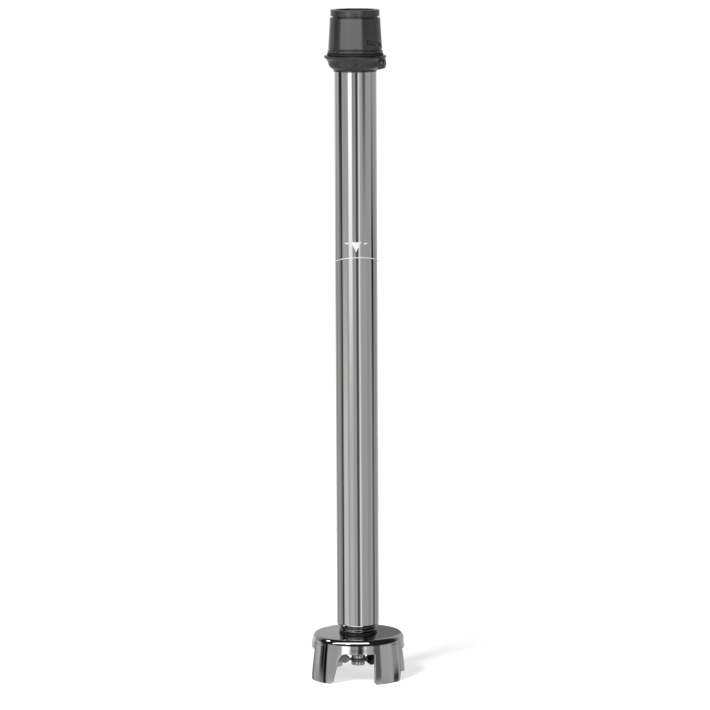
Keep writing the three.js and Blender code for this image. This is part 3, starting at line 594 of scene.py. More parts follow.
def makeBell():
    spot = place("bell_guard")
    shoulderFoot = spot["top"] - bell["shoulder"]
    hole = bell["hole"]

    def outsideAt(height):
        return bell["foot"] - (bell["foot"] - bell["wallTop"]) * (height / shoulderFoot) ** bell["wallCurve"]

    archFoot = bell["windowHeight"] - bell["archRise"]
    foot, arch = bell["footRound"], bell["archRise"]
    footSteps, legSteps, archSteps = bell["footSteps"], bell["legSteps"], bell["archSteps"]
    levels = [foot * (1 - math.cos(math.radians(90 * i / footSteps))) for i in range(footSteps + 1)]
    levels += [foot + (archFoot - foot) * i / legSteps for i in range(1, legSteps + 1)]
    levels += [archFoot + arch * math.sin(math.radians(90 * i / archSteps)) for i in range(1, archSteps + 1)]
    sections = [(outsideAt(z), z, outsideAt(z) - bell["wall"], z) for z in levels]
    for i in range(1, bell["wallSteps"] + 1):
        z = bell["windowHeight"] + (shoulderFoot - bell["windowHeight"]) * i / bell["wallSteps"]
        sections.append((outsideAt(z), z, outsideAt(z) - bell["wall"], z))
    rim = bell["wallTop"] - bell["crown"]
    for i in range(1, bell["shoulderSteps"] + 1):
        turn = math.radians(90 * i / bell["shoulderSteps"])
        innerRim = rim - bell["wall"] + 1
        sections.append((
            bell["crown"] + rim * math.cos(turn), shoulderFoot + bell["shoulder"] * math.sin(turn),
            bell["crown"] - 1 + innerRim * math.cos(turn),
            shoulderFoot + (bell["shoulder"] - bell["ceiling"]) * math.sin(turn)))
    for i in range(1, bell["crownSteps"] + 1):
        share = i / bell["crownSteps"]
        sections.append((
            bell["crown"] + (hole - bell["crown"]) * share, spot["top"],
            bell["crown"] - 1 + (hole - bell["crown"] + 1) * share, spot["top"] - bell["ceiling"]))

    points, faces = [], []
    windowRow = len(levels) - 1
    legColumns, windowColumns = bell["legColumns"], bell["windowColumns"]
    quarter = 2 * math.pi / bell["legs"]
    atTop = bellWindowEdges(bell["windowHeight"])
    topUpright = math.asin(atTop[0] / outsideAt(bell["windowHeight"]))
    topLean = math.asin(atTop[1] / outsideAt(bell["windowHeight"]))

    def addGrid(rows, starts, ends, columns, start):
        # one outside and one inside grid over the same rows and columns
        grids = []
        for side in (0, 2):
            grid = []
            for row, first, last in zip(rows, starts, ends):
                radius, height = sections[row][side], sections[row][side + 1]
                line = []
                for column in range(columns + 1):
                    turn = start + first + (last - first) * column / columns
                    line.append(len(points))
                    points.append((radius * math.sin(turn) * mm, -radius * math.cos(turn) * mm, height * mm))
                grid.append(line)
            for low, high in zip(grid, grid[1:]):
                faces.extend((low[c], low[c + 1], high[c + 1], high[c]) for c in range(columns))
            grids.append(grid)
        return grids

    def strip(first, second):
        faces.extend((first[i], first[i + 1], second[i + 1], second[i]) for i in range(len(first) - 1))

    legRows = list(range(windowRow + 1))
    crownRows = list(range(windowRow, len(sections)))
    for leg in range(bell["legs"]):
        start = leg * quarter
        edges = [bellWindowEdges(sections[row][1]) for row in legRows]
        outer = [sections[row][0] for row in legRows]
        starts = [math.asin(edge[0] / radius) for edge, radius in zip(edges, outer)]
        ends = [quarter - math.asin(edge[1] / radius) for edge, radius in zip(edges, outer)]
        outside, inside = addGrid(legRows, starts, ends, legColumns, start)
        strip(outside[0], inside[0])
        strip([line[0] for line in outside], [line[0] for line in inside])
        strip([line[-1] for line in outside], [line[-1] for line in inside])
        count = len(crownRows)
        starts, ends = [topUpright] * count, [quarter - topLean] * count
        outside, inside = addGrid(crownRows, starts, ends, legColumns, start)
        strip(outside[-1], inside[-1])
        starts, ends = [-topLean] * count, [topUpright] * count
        outside, inside = addGrid(crownRows, starts, ends, windowColumns, start)
        strip(outside[-1], inside[-1])
        strip(outside[0], inside[0])
    piece = newPiece("bellGuard", points, faces)
    breakEdges(piece, bell["edge"], 3, 42)
    return fitPiece(piece, ["bell_guard"], "bellSteel")


makeBell()
print("bell guard made")


# Neck: gasket, lock nut and bearing housing.

neck = {"thread": 13.7, "bore": 11.15, "groove": 1.5, "bead": 15.7, "ringSeat": 1.1, "spigotBore": 12.0,
        "land": 2.0, "shelf": 2.2, "shelfDrop": 3.7, "shaftHole": 7.0, "beadDepth": 0.9, "flare": 1.5,
        "notches": 6, "notchHalf": 2, "notchDepth": 1.5}


def makeNeck():
    gasket = place("bell_gasket")
    seatRadius = neck["thread"] + fit
    fitPiece(ring("bellGasket", gasket, seatRadius, (0, 0.35, 0.35, 0), 160), ["bell_gasket"])

    housing = place("bearing_housing")
    neckTop = place("outer_tube")["bottom"] - gap
    beadLow, beadHigh = gasket["top"] + gap, neckTop - neck["groove"]
    seat = neck["bead"] - neck["groove"]
    landTop = neckTop + neck["land"]
    shelf = neckTop - neck["shelfDrop"]
    shelfTop = shelf + neck["shelf"]
    ringTop = place("housing_retaining_ring")["top"] + fit
    ringLow = place("housing_retaining_ring")["bottom"] - fit
    seatWide = neck["bore"] + neck["ringSeat"]
    bead = [(neck["bead"] - neck["beadDepth"] + neck["beadDepth"] * math.cos(math.radians(a)),
             (beadLow + beadHigh) / 2 + (beadHigh - beadLow) / 2 * math.sin(math.radians(a)))
            for a in range(-90, 91, 15)]
    outline = rounded([(neck["bore"], housing["bottom"], 0.3), (neck["thread"], housing["bottom"], 0.5),
                       (neck["thread"], beadLow), (seat, beadLow)])
    outline += [Vector(point) for point in bead]
    outline += rounded([(seat, beadHigh, 0.3), (seat, neckTop, 0.3), (neck["bead"], neckTop, 0.2),
                        (neck["bead"], landTop), (housing["radius"], landTop + neck["flare"]),
                        (housing["radius"], housing["top"], 0.4), (neck["spigotBore"], housing["top"], 0.4),
                        (neck["spigotBore"], shelfTop), (neck["shaftHole"], shelfTop, 0.3),
                        (neck["shaftHole"], shelf, 0.3), (neck["bore"], shelf), (neck["bore"], ringTop),
                        (seatWide, ringTop), (seatWide, ringLow), (neck["bore"], ringLow)])
    # The bearing housing takes the darkened steel, which is painted shade and painted dark reflection.
    fitPiece(turned("bearingHousing", outline, 192), ["bearing_housing"], "neckSteel")

    nut = place("bell_lock_nut")
    piece = ring("bellLockNut", nut, seatRadius, (0.4, 0.6, 0.4, 0.2), 160)
    half, edge = neck["notchHalf"], -nut["radius"]
    notch = block("notch", (-half, edge - 2, nut["bottom"] - 1),
                  (half, edge + neck["notchDepth"], nut["top"] + 1))
    grow(notch, repeatRound, {"Count": neck["notches"], "Start": math.pi / neck["notches"]})
    carve(piece, [notch])
    fitPiece(breakEdges(piece, 0.15), ["bell_lock_nut"])


makeNeck()
print("neck made")


# Tube with its level line and level mark.

tube = {"wall": 1.5, "endRound": 2.2, "endInset": 0.9, "around": 256, "holeRadius": 2.15, "holeIn": 5,
        "holeOut": 22}
levelPrint = {"height": 347.3, "tilt": 5.2, "width": 0.66, "thickness": 0.06, "stand": 0.05,
              "markBottom": 357.2, "markHeight": 8.0, "arrowHalf": 4.2, "barInner": 6.3, "barWidth": 3.2,
              "barDrop": 1.8, "barHeight": 1.1, "turn": 6.0, "markStand": 0.01, "arrowFill": 0.98}
screwSpot = place("carrier_screw_1")
screwRise = (screwSpot["bottom"] + screwSpot["top"]) / 2
screwAngles = [78, 258]  # the first sits in the boss


# Cutters for the carrier screws' holes, from `near` to `far` along their radius.
def screwHoles(radius, near, far):
    return [laidOut(prism("hole", 32, radius, near, far), screwRise, angle) for angle in screwAngles]


def makeTube():
    spot = place("outer_tube")
    bore = spot["radius"] - tube["wall"]
    inset = spot["radius"] - tube["endInset"]
    nose = [Vector((inset + tube["endInset"] * math.sin(math.radians(a)),
                    spot["bottom"] + tube["endRound"] * (1 - math.cos(math.radians(a)))))
            for a in range(0, 91, 10)]
    outline = [Vector((bore, spot["bottom"]))] + nose
    outline += rounded([(spot["radius"], spot["top"], 0.2), (bore, spot["top"], 0.2)])
    piece = turned("outerTube", outline, tube["around"])
    holes = screwHoles(tube["holeRadius"], tube["holeIn"], tube["holeOut"])
    fitPiece(carve(piece, holes), ["outer_tube"], "tubeSteel")


# A flat patch, wrapped on the tube: the outline is (distance round the front, height).
def wrapped(name, outline, radius, thickness, steps=8):
    points, faces = [], []
    low, high = outline
    count = steps + 1
    for layer in (0, thickness):
        for rowIndex in range(count):
            rise = rowIndex / steps
            for columnIndex in range(count):
                share = columnIndex / steps
                bottom, top = low(share), high(share)
                across, height = bottom[0], bottom[1] + (top[1] - bottom[1]) * rise
                turn = across / radius
                reach = (radius + layer) * mm
                points.append((reach * math.sin(turn), -reach * math.cos(turn), height * mm))
    size = count * count
    for row in range(steps):
        for column in range(steps):
            a = row * count + column
            face = (a, a + 1, a + count + 1, a + count)
            faces.append(face)
            faces.append(tuple(index + size for index in face))
    border = list(range(steps)) + [r * count + steps for r in range(steps)]
    border += [steps * count + c for c in range(steps, 0, -1)] + [r * count for r in range(steps, 0, -1)]
    for a, b in zip(border, border[1:] + border[:1]):
        faces.append((a, b, b + size, a + size))
    return newPiece(name, points, faces)


def makeLevelPrint():
    radius = place("outer_tube")["radius"]
    ribbon = newPiece("levelLine", [(0, 0, 0), (mm, 0, 0), (0, mm, 0)], [(0, 1, 2)])
    grow(ribbon, tiltedRibbon, {
        "Radius": (radius + levelPrint["stand"]) * mm, "Height": levelPrint["height"] * mm,
        "Tilt": levelPrint["tilt"] * mm, "Width": levelPrint["width"] * mm,
        "Thickness": levelPrint["thickness"] * mm})
    ribbon.data.transform(Matrix.Rotation(math.radians(levelPrint["turn"]), 4, "Z"))
    closeMesh(ribbon)
    bottom, tall = levelPrint["markBottom"], levelPrint["markHeight"]
    half = levelPrint["arrowHalf"]

    def arrowLow(share):
        return ((2 * share - 1) * half, bottom + tall * abs(2 * share - 1) * levelPrint["arrowFill"])

    def arrowHigh(share):
        return ((2 * share - 1) * half, bottom + tall)

    marked = radius + levelPrint["markStand"]
    marks = [wrapped("levelArrow", (arrowLow, arrowHigh), marked, levelPrint["thickness"], 16)]
    barFoot = bottom + tall - levelPrint["barDrop"]

    def barEdge(side, height):
        return lambda share: (side * (levelPrint["barInner"] + levelPrint["barWidth"] * share), height)

    for label, side in (("levelBarLeft", -1), ("levelBarRight", 1)):
        edges = (barEdge(side, barFoot), barEdge(side, barFoot + levelPrint["barHeight"]))
        marks.append(wrapped(label, edges, marked, levelPrint["thickness"], 6))
    for piece in [ribbon, *marks]:
        piece.data.materials.clear()
        piece.data.materials.append(finishes["printWhite"])
        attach(piece, "tool_body")


makeTube()
makeLevelPrint()
print("tube and its level print made")


# Flange skirt, seal ring and coupling sleeve.

skirt = {"neckWall": 0.4, "lip": 1.6, "step": 1.3, "swell": 0.11, "fullness": 0.22, "bossRadius": 5.0,
         "bossReach": 25.0, "bossDrop": 0.4, "bossSpread": 0.6, "bossSoftIn": 1.4, "bossSoftOut": 1.2,
         "lipIn": 0.55, "lipBulge": 0.65, "steps": 48, "holeRadius": 2.6, "holeIn": 16.5, "holeOut": 28}


def makeSkirt():
    spot = place("flange_skirt")
    wall = place("outer_tube")["radius"]
    lipRadius = spot["radius"] - 0.1
    lipLow = spot["top"] - skirt["lip"]
    neckRadius = wall + skirt["neckWall"]
    start = spot["bottom"] + skirt["step"]
    flank = []
    for i in range(skirt["steps"] + 1):
        t = i / skirt["steps"]
        swell = (t + skirt["swell"] * math.sin(2 * math.pi * t)) * (1 + skirt["fullness"] * (1 - t))
        flank.append(Vector((neckRadius + (lipRadius - neckRadius) * swell, start + (lipLow - start) * t)))
    lip = [Vector((lipRadius - skirt["lipIn"] + skirt["lipBulge"] * math.cos(math.radians(a)),
                   (lipLow + spot["top"]) / 2 + skirt["lip"] / 2 * math.sin(math.radians(a))))
           for a in range(-60, 91, 15)]
    outline = [Vector((wall + fit, spot["bottom"])), Vector((neckRadius, spot["bottom"]))] + flank + lip
    outline.append(Vector((wall + fit, spot["top"])))
    bossTurn = math.radians(screwAngles[0])
    bossHeight = screwRise - skirt["bossDrop"]

    def swollen(turn, radius, height):
        if radius < neckRadius + 0.05:
            return radius
        off = (turn - bossTurn + math.pi) % (2 * math.pi) - math.pi
        if abs(off) > skirt["bossSpread"]:
            return radius
        away = math.hypot(radius * math.sin(off), height - bossHeight)
        full = skirt["bossReach"] / math.cos(off)
        inside = skirt["bossRadius"] - skirt["bossSoftIn"]
        share = 1 - smooth(inside, skirt["bossRadius"] + skirt["bossSoftOut"], away)
        return max(radius, radius + (full - radius) * share)

    piece = turned("flangeSkirt", outline, 320, swollen)
    holes = screwHoles(skirt["holeRadius"], skirt["holeIn"], skirt["holeOut"])
    fitPiece(carve(piece, holes), ["flange_skirt"])

    piece = ring("flangeSealRing", place("flange_seal_ring"), wall + fit, (0, 0.7, 0.7, 0), 192, 6)
    fitPiece(piece, ["flange_seal_ring"])


sleeve = {"base": 22.1, "shoulder": 20.6, "rim": 20.15, "beadHeight": 2.1, "waist": 21.7, "grooveHeight": 1.3,
          "grooveDepth": 1.5, "rimHeight": 5.2, "wall": 3.9, "seat": 7.3, "rampCount": 2, "rampStart": 27,
          "rampEnd": 75, "rampDepth": 1.4, "rampWidth": 3.0, "rampRise": 4.0, "rampLift": 2.2,
          "pitDepth": 1.1, "pitIn": 1.0, "pitOut": 1.7, "waistLow": 0.15, "waistHigh": 0.9, "baseRise": 1.3}


def makeSleeve():
    spot = place("coupling_sleeve")
    low, high = spot["bottom"], spot["top"]
    grooveTop = high - sleeve["rimHeight"]
    grooveLow = grooveTop - sleeve["grooveHeight"]
    bore = sleeve["rim"] - sleeve["wall"]
    seatRadius = place("outer_tube")["radius"] + fit
    beadTop = low + sleeve["beadHeight"]
    baseLow = beadTop + sleeve["baseRise"]
    outline = rounded([
        (seatRadius, low), (spot["radius"], low, 0.8), (spot["radius"], beadTop, 0.8),
        (sleeve["waist"], beadTop + sleeve["waistLow"], 0.3),
        (sleeve["waist"], beadTop + sleeve["waistHigh"], 0.2),
        (sleeve["base"], baseLow, 0.4), (sleeve["shoulder"], grooveLow, 0.35),
        (sleeve["rim"] - sleeve["grooveDepth"], grooveLow, 0.2),
        (sleeve["rim"] - sleeve["grooveDepth"], grooveTop, 0.2), (sleeve["rim"], grooveTop, 0.35),
        (sleeve["rim"], high, 0.7), (bore, high, 0.5), (bore, low + sleeve["seat"]),
        (seatRadius, low + sleeve["seat"])])
    rows = fineRows(outline, 0.4)
    rampSpan = sleeve["rampEnd"] - sleeve["rampStart"]
    halfRamp = sleeve["rampWidth"] / 2

    def ramped(turn, radius, height):
        if radius < sleeve["shoulder"] - 0.8 or not baseLow < height < grooveLow:
            return radius
        for i in range(sleeve["rampCount"]):
            angle = (math.degrees(turn) - i * 360 / sleeve["rampCount"]) % 360
            share = (angle - sleeve["rampStart"]) / rampSpan
            bottom = beadTop + sleeve["rampLift"] + sleeve["rampRise"] * (1 - min(1, max(0, share)))
            middle = bottom + halfRamp
            across = 1 - smooth(halfRamp - 0.35, halfRamp + 0.25, abs(height - middle))
            ends = smooth(-0.03, 0.02, share) * (1 - smooth(0.98, 1.03, share))
            radius -= sleeve["rampDepth"] * across * ends
            for end in (sleeve["rampStart"], sleeve["rampEnd"]):
                near = math.hypot((angle - end) * math.pi / 180 * radius, height - middle)
                radius -= sleeve["pitDepth"] * (1 - smooth(sleeve["pitIn"], sleeve["pitOut"], near)) * ends
        return radius

    fitPiece(turned("couplingSleeve", rows, 360, ramped), ["coupling_sleeve"])


makeSkirt()
makeSleeve()
print("coupling made")


# Ball bearings, carriers, bushes, rings and seal.

bearing = {"outer": 11.0, "bore": 4.0, "land": 2.0, "ball": 1.98, "pitch": 7.5, "play": 0.12,
           "count": 7, "pocket": 2.13, "pocketReach": 2, "chamfer": 0.4, "cageWall": 0.8}


def grooveArc(middle, outward, steps=10):
    reach = bearing["ball"] + bearing["play"]
    side = 1 if outward else -1
    land = bearing["outer"] - bearing["land"] if outward else bearing["bore"] + bearing["land"]
    half = math.acos(min(1.0, abs(land - bearing["pitch"]) / reach))
    turns = [half * (2 * i / steps - 1) for i in range(steps + 1)]
    return [Vector((bearing["pitch"] + side * reach * math.cos(a), middle + reach * math.sin(a)))
            for a in turns]


def makeBearing(end):
    spot = place(f"{end}_bearing_outer_race")
    low, high = spot["bottom"], spot["top"]
    middle = (low + high) / 2
    soft = bearing["chamfer"]
    innerLand, outerLand = bearing["bore"] + bearing["land"], bearing["outer"] - bearing["land"]
    outer = rounded([(outerLand, high, 0.2), (bearing["outer"], high, soft), (bearing["outer"], low, soft),
                     (outerLand, low, 0.2)], 4) + grooveArc(middle, True)
    inner = rounded([(innerLand, high, 0.2), (bearing["bore"], high, soft), (bearing["bore"], low, soft),
                     (innerLand, low, 0.2)], 4) + grooveArc(middle, False)
    fitPiece(turned(f"{end}BearingOuterRace", outer, 128), [f"{end}_bearing_outer_race"])
    fitPiece(turned(f"{end}BearingInnerRace", inner, 128), [f"{end}_bearing_inner_race"])

    cage = place(f"{end}_bearing_cage")
    piece = ring(f"{end}BearingCage", cage, cage["radius"] - bearing["cageWall"], [0.15] * 4, 144, 3)
    near, far = bearing["pitch"] - bearing["pocketReach"], bearing["pitch"] + bearing["pocketReach"]
    pocket = laidOut(prism("pocket", 36, bearing["pocket"], near, far), middle, 0)
    grow(pocket, repeatRound, {"Count": bearing["count"]})
    fitPiece(carve(piece, [pocket]), [f"{end}_bearing_cage"])

    arc = [Vector((bearing["ball"] * math.cos(math.radians(a)), bearing["ball"] * math.sin(math.radians(a))))
           for a in range(-90, 91, 10)]
    balls = turned(f"{end}BearingBalls", arc, 32)
    balls.data.transform(Matrix.Translation((0, -bearing["pitch"] * mm, middle * mm)))
    nodes = [f"{end}_bearing_ball_{i + 1}" for i in range(bearing["count"])]
    finish = finishes[finishOfSlot[slotOfNode[nodes[0]]]]
    grow(balls, repeatRound, {"Count": bearing["count"], "Material": finish})
    fitPiece(balls, nodes)


carriers = {"chamfer": 1.0, "shaftHole": 7.0, "ringSeat": 1.1, "bore": 11.15, "bushBore": 5.12,
            "screwIn": 13.15, "screwOut": 20.15, "screwRadius": 2.0, "socketDepth": 2, "holeRadius": 2.15,
            "holeIn": 12.65, "holeOut": 20}


def makeCarriers():
    for i in (1, 2):
        holder, bush = place(f"guide_carrier_{i}"), place(f"guide_bush_{i}")
        piece = ring(f"guideCarrier{i}", holder, bush["radius"] + fit, (0.4, 1.2, 1.2, 0.4))
        fitPiece(piece, [f"guide_carrier_{i}"])
        piece = ring(f"guideBush{i}", bush, carriers["bushBore"], (0.4, 0.6, 0.6, 0.4))
        fitPiece(piece, [f"guide_bush_{i}"])

    spot, clip = place("bearing_carrier"), place("carrier_retaining_ring")
    shelfTop = place("upper_bearing_outer_race")["bottom"] - gap
    wide = carriers["bore"] + carriers["ringSeat"]
    outline = rounded([
        (carriers["shaftHole"], spot["bottom"], 0.3), (spot["radius"], spot["bottom"], carriers["chamfer"]),
        (spot["radius"], spot["top"], 0.5), (carriers["bore"], spot["top"], 0.6),
        (carriers["bore"], clip["top"] + fit),
        (wide, clip["top"] + fit), (wide, clip["bottom"] - fit), (carriers["bore"], clip["bottom"] - fit),
        (carriers["bore"], shelfTop), (carriers["shaftHole"], shelfTop, 0.3)])
    piece = turned("bearingCarrier", outline, 160)
    holes = screwHoles(carriers["holeRadius"], carriers["holeIn"], carriers["holeOut"])
    fitPiece(carve(piece, holes), ["bearing_carrier"])

    near, far, half = carriers["screwIn"], carriers["screwOut"], carriers["screwRadius"]
    shank = rounded([(0, near), (half, near, 0.4), (half, far, 0.35), (0, far)], 4)
    screw = laidOut(turned("carrierScrews", shank, 40), screwRise, 0)
    socket = prism("socket", 6, half / 2, far - carriers["socketDepth"], far + 1)
    carve(screw, [laidOut(socket, screwRise, 0)])
    count = len(screwAngles)
    grow(screw, repeatRound, {
        "Count": count, "Start": math.radians(screwAngles[0]), "Material": finishes["darkSteel"]})
    fitPiece(screw, [f"carrier_screw_{i + 1}" for i in range(count)])


boreRing = {"inner": 9.2, "outer": 12.1, "opening": 40, "outward": True}
openRings = {
    "housingRetainingRing": {"node": "housing_retaining_ring", **boreRing},
    "carrierRetainingRing": {"node": "carrier_retaining_ring", **boreRing},
    "shaftRetainingRing": {"node": "shaft_retaining_ring", "inner": 3.5, "outer": 5.35, "opening": 70,
                           "outward": False},
}


# A sprung ring with an opening towards +X; it thins towards its ends, on the side away from its seat.
def makeOpenRing(name, node, inner, outer, opening, outward):
    spot = place(node)
    steps = 120
    half = math.radians(opening / 2)
    points, faces = [], []
    for i in range(steps + 1):
        turn = half + (2 * math.pi - 2 * half) * i / steps
        taper = math.sin(math.pi * i / steps) ** 0.5
        width = (outer - inner) * (0.62 + 0.38 * taper)
        near, far = (outer - width, outer) if outward else (inner, inner + width)
        low, high = spot["bottom"], spot["top"]
        for radius, height in ((near, low), (far, low), (far, high), (near, high)):
            points.append((radius * math.cos(turn) * mm, radius * math.sin(turn) * mm, height * mm))
    for i in range(steps):
        a, b = 4 * i, 4 * i + 4
        faces.extend((a + j, a + (j + 1) % 4, b + (j + 1) % 4, b + j) for j in range(4))
    faces += [(0, 1, 2, 3), tuple(4 * steps + j for j in range(4))]
    fitPiece(breakEdges(newPiece(name, points, faces), 0.08), [node])


seal = {"wall": 0.8, "floor": 1.8, "lipTop": 4.8, "lipPlay": 0.12, "wire": 0.11, "turns": 90}


def makeSeal():
    spot = place("shaft_seal")
    lip = place("seal_spacer")["radius"] + seal["lipPlay"]
    low, high = spot["bottom"], spot["top"]
    cup, floor, lipTop = spot["radius"] - seal["wall"], low + seal["floor"], low + seal["lipTop"]
    outline = rounded([
        (lip, low + 0.2, 0.15), (lip + 0.9, low, 0.3), (spot["radius"], low, 0.4),
        (spot["radius"], high, 0.3), (cup, high, 0.2), (cup, floor, 0.5), (lip + seal["wall"], floor, 0.5),
        (lip + seal["wall"], lipTop, 0.2), (lip, lipTop, 0.2)])
    fitPiece(turned("shaftSeal", outline, 128), ["shaft_seal"])
    spring = place("seal_garter_spring")
    coil = (spring["top"] - spring["bottom"]) / 2
    wire = seal["wire"]
    piece = newPiece("sealGarterSpring", [(0, 0, 0), (mm, 0, 0), (0, mm, 0)], [(0, 1, 2)])
    grow(piece, woundRing, {
        "Radius": (spring["radius"] - coil) * mm, "Coil": (coil - wire) * mm, "Wire": wire * mm,
        "Turns": seal["turns"], "Height": (spring["bottom"] + coil) * mm})
    fitPiece(closeMesh(piece), ["seal_garter_spring"])


for end in ("upper", "lower"):
    makeBearing(end)
makeCarriers()
makeSeal()
print("bearings, carriers and seal made")


# Shaft, dog and blade.

shaft = {"radius": 5.0, "journal": 3.85, "hole": 2.65, "groove": 0.5, "groovePlay": 0.1}
dog = {"bore": 4.0, "socket": 6.2, "socketDepth": 11.5, "web": 2.2, "slot": 3.2, "pin": 1.5,
       "pinHole": 1.65, "reach": 12}


def makeDrive():
    spot = place("drive_shaft")
    shoulderLow = place("lower_bearing_inner_race")["top"] + gap
    shoulderHigh = place("upper_bearing_inner_race")["bottom"] - gap
    clip = place("shaft_retaining_ring")
    holeTop = place("blade_screw")["top"] + 1
    grooveRadius = shaft["journal"] - shaft["groove"]
    grooveLow, grooveHigh = clip["bottom"] - shaft["groovePlay"], clip["top"] + shaft["groovePlay"]
    outline = rounded([
        (0, holeTop + 1.2), (shaft["hole"], holeTop), (shaft["hole"], spot["bottom"], 0.2),
        (shaft["journal"], spot["bottom"], 0.3), (shaft["journal"], shoulderLow, 0),
        (shaft["radius"], shoulderLow, 0.3),
        (shaft["radius"], shoulderHigh, 0.3), (shaft["journal"], shoulderHigh, 0),
        (shaft["journal"], grooveLow), (grooveRadius, grooveLow),
        (grooveRadius, grooveHigh), (shaft["journal"], grooveHigh),
        (shaft["journal"], spot["top"], 0.5), (0, spot["top"])])
    piece = turned("driveShaft", outline, 96)
    pinSpot = place("dog_pin")
    pinMiddle = (pinSpot["bottom"] + pinSpot["top"]) / 2

    def pinHole():
        return laidOut(prism("hole", 32, dog["pinHole"], -dog["reach"], dog["reach"]), pinMiddle, 90)

    fitPiece(carve(piece, [pinHole()]), ["drive_shaft"])

    spot = place("drive_dog")
    boreTop = spot["top"] - dog["socketDepth"] - dog["web"]
    outline = rounded([
        (0, boreTop), (dog["bore"], boreTop), (dog["bore"], spot["bottom"], 0.4),
        (spot["radius"], spot["bottom"], 0.6), (spot["radius"], spot["top"], 1.2), (0, spot["top"])])
    piece = turned("driveDog", outline, 128)
    carve(piece, [
        prism("socket", 6, dog["socket"], spot["top"] - dog["socketDepth"], spot["top"] + 2),
        block("slot", (-dog["reach"], -dog["slot"] / 2, spot["top"] - dog["slot"]),
              (dog["reach"], dog["slot"] / 2, spot["top"] + 2)),
        pinHole()])
    fitPiece(breakEdges(piece, 0.18), ["drive_dog"])

    half = pinSpot["radius"]
    outline = rounded([(0, -half), (dog["pin"], -half, 0.4), (dog["pin"], half, 0.4), (0, half)])
    fitPiece(laidOut(turned("dogPin", outline, 40), pinMiddle, 90), ["dog_pin"])

    piece = ring("sealSpacer", place("seal_spacer"), blade["hole"], (0.3, 0.4, 0.4, 0.3))
    fitPiece(piece, ["seal_spacer"])


blade = {"chord": 13.2, "pitch": 46.0, "rise": 5.0, "thick": 2.0, "edge": 0.14, "bevel": 1.9, "scallops": 3,
         "scallop": 1.6, "bite": 0.5, "first": 0.48, "step": 0.16, "plate": 6.6, "hole": 4.0, "stations": 54,
         "tip": 29.0, "riseFrom": 8.2,
         "width": [
             (4.8, 0.62), (6.2, 0.72), (8.2, 0.9), (10.4, 1.0), (20.3, 0.96), (27.0, 0.8), (29.0, 0.56)],
         "twist": [
             (4.8, 0.0), (6.2, 0.15), (8.2, 0.7), (10.4, 1.0), (20.3, 0.94), (27.0, 0.88), (29.0, 0.86)]}
hub = {"flatHalf": 6, "flatSet": 5.2, "flatLow": 3.8, "flatHigh": 0.6}
capRecess = {"depth": 2.1}
screwThread = {"radius": 2.5, "pitch": 0.8, "depth": 0.3, "start": 3.6, "end": 1.2, "key": 1.7,
               "keyDepth": 1.5}


def between(pairs, value):
    for (start, low), (end, high) in zip(pairs, pairs[1:]):
        if value <= end:
            share = smooth(start, end, value) * 0.5 + 0.5 * max(0, (value - start) / (end - start))
            return low + (high - low) * share
    return pairs[-1][1]


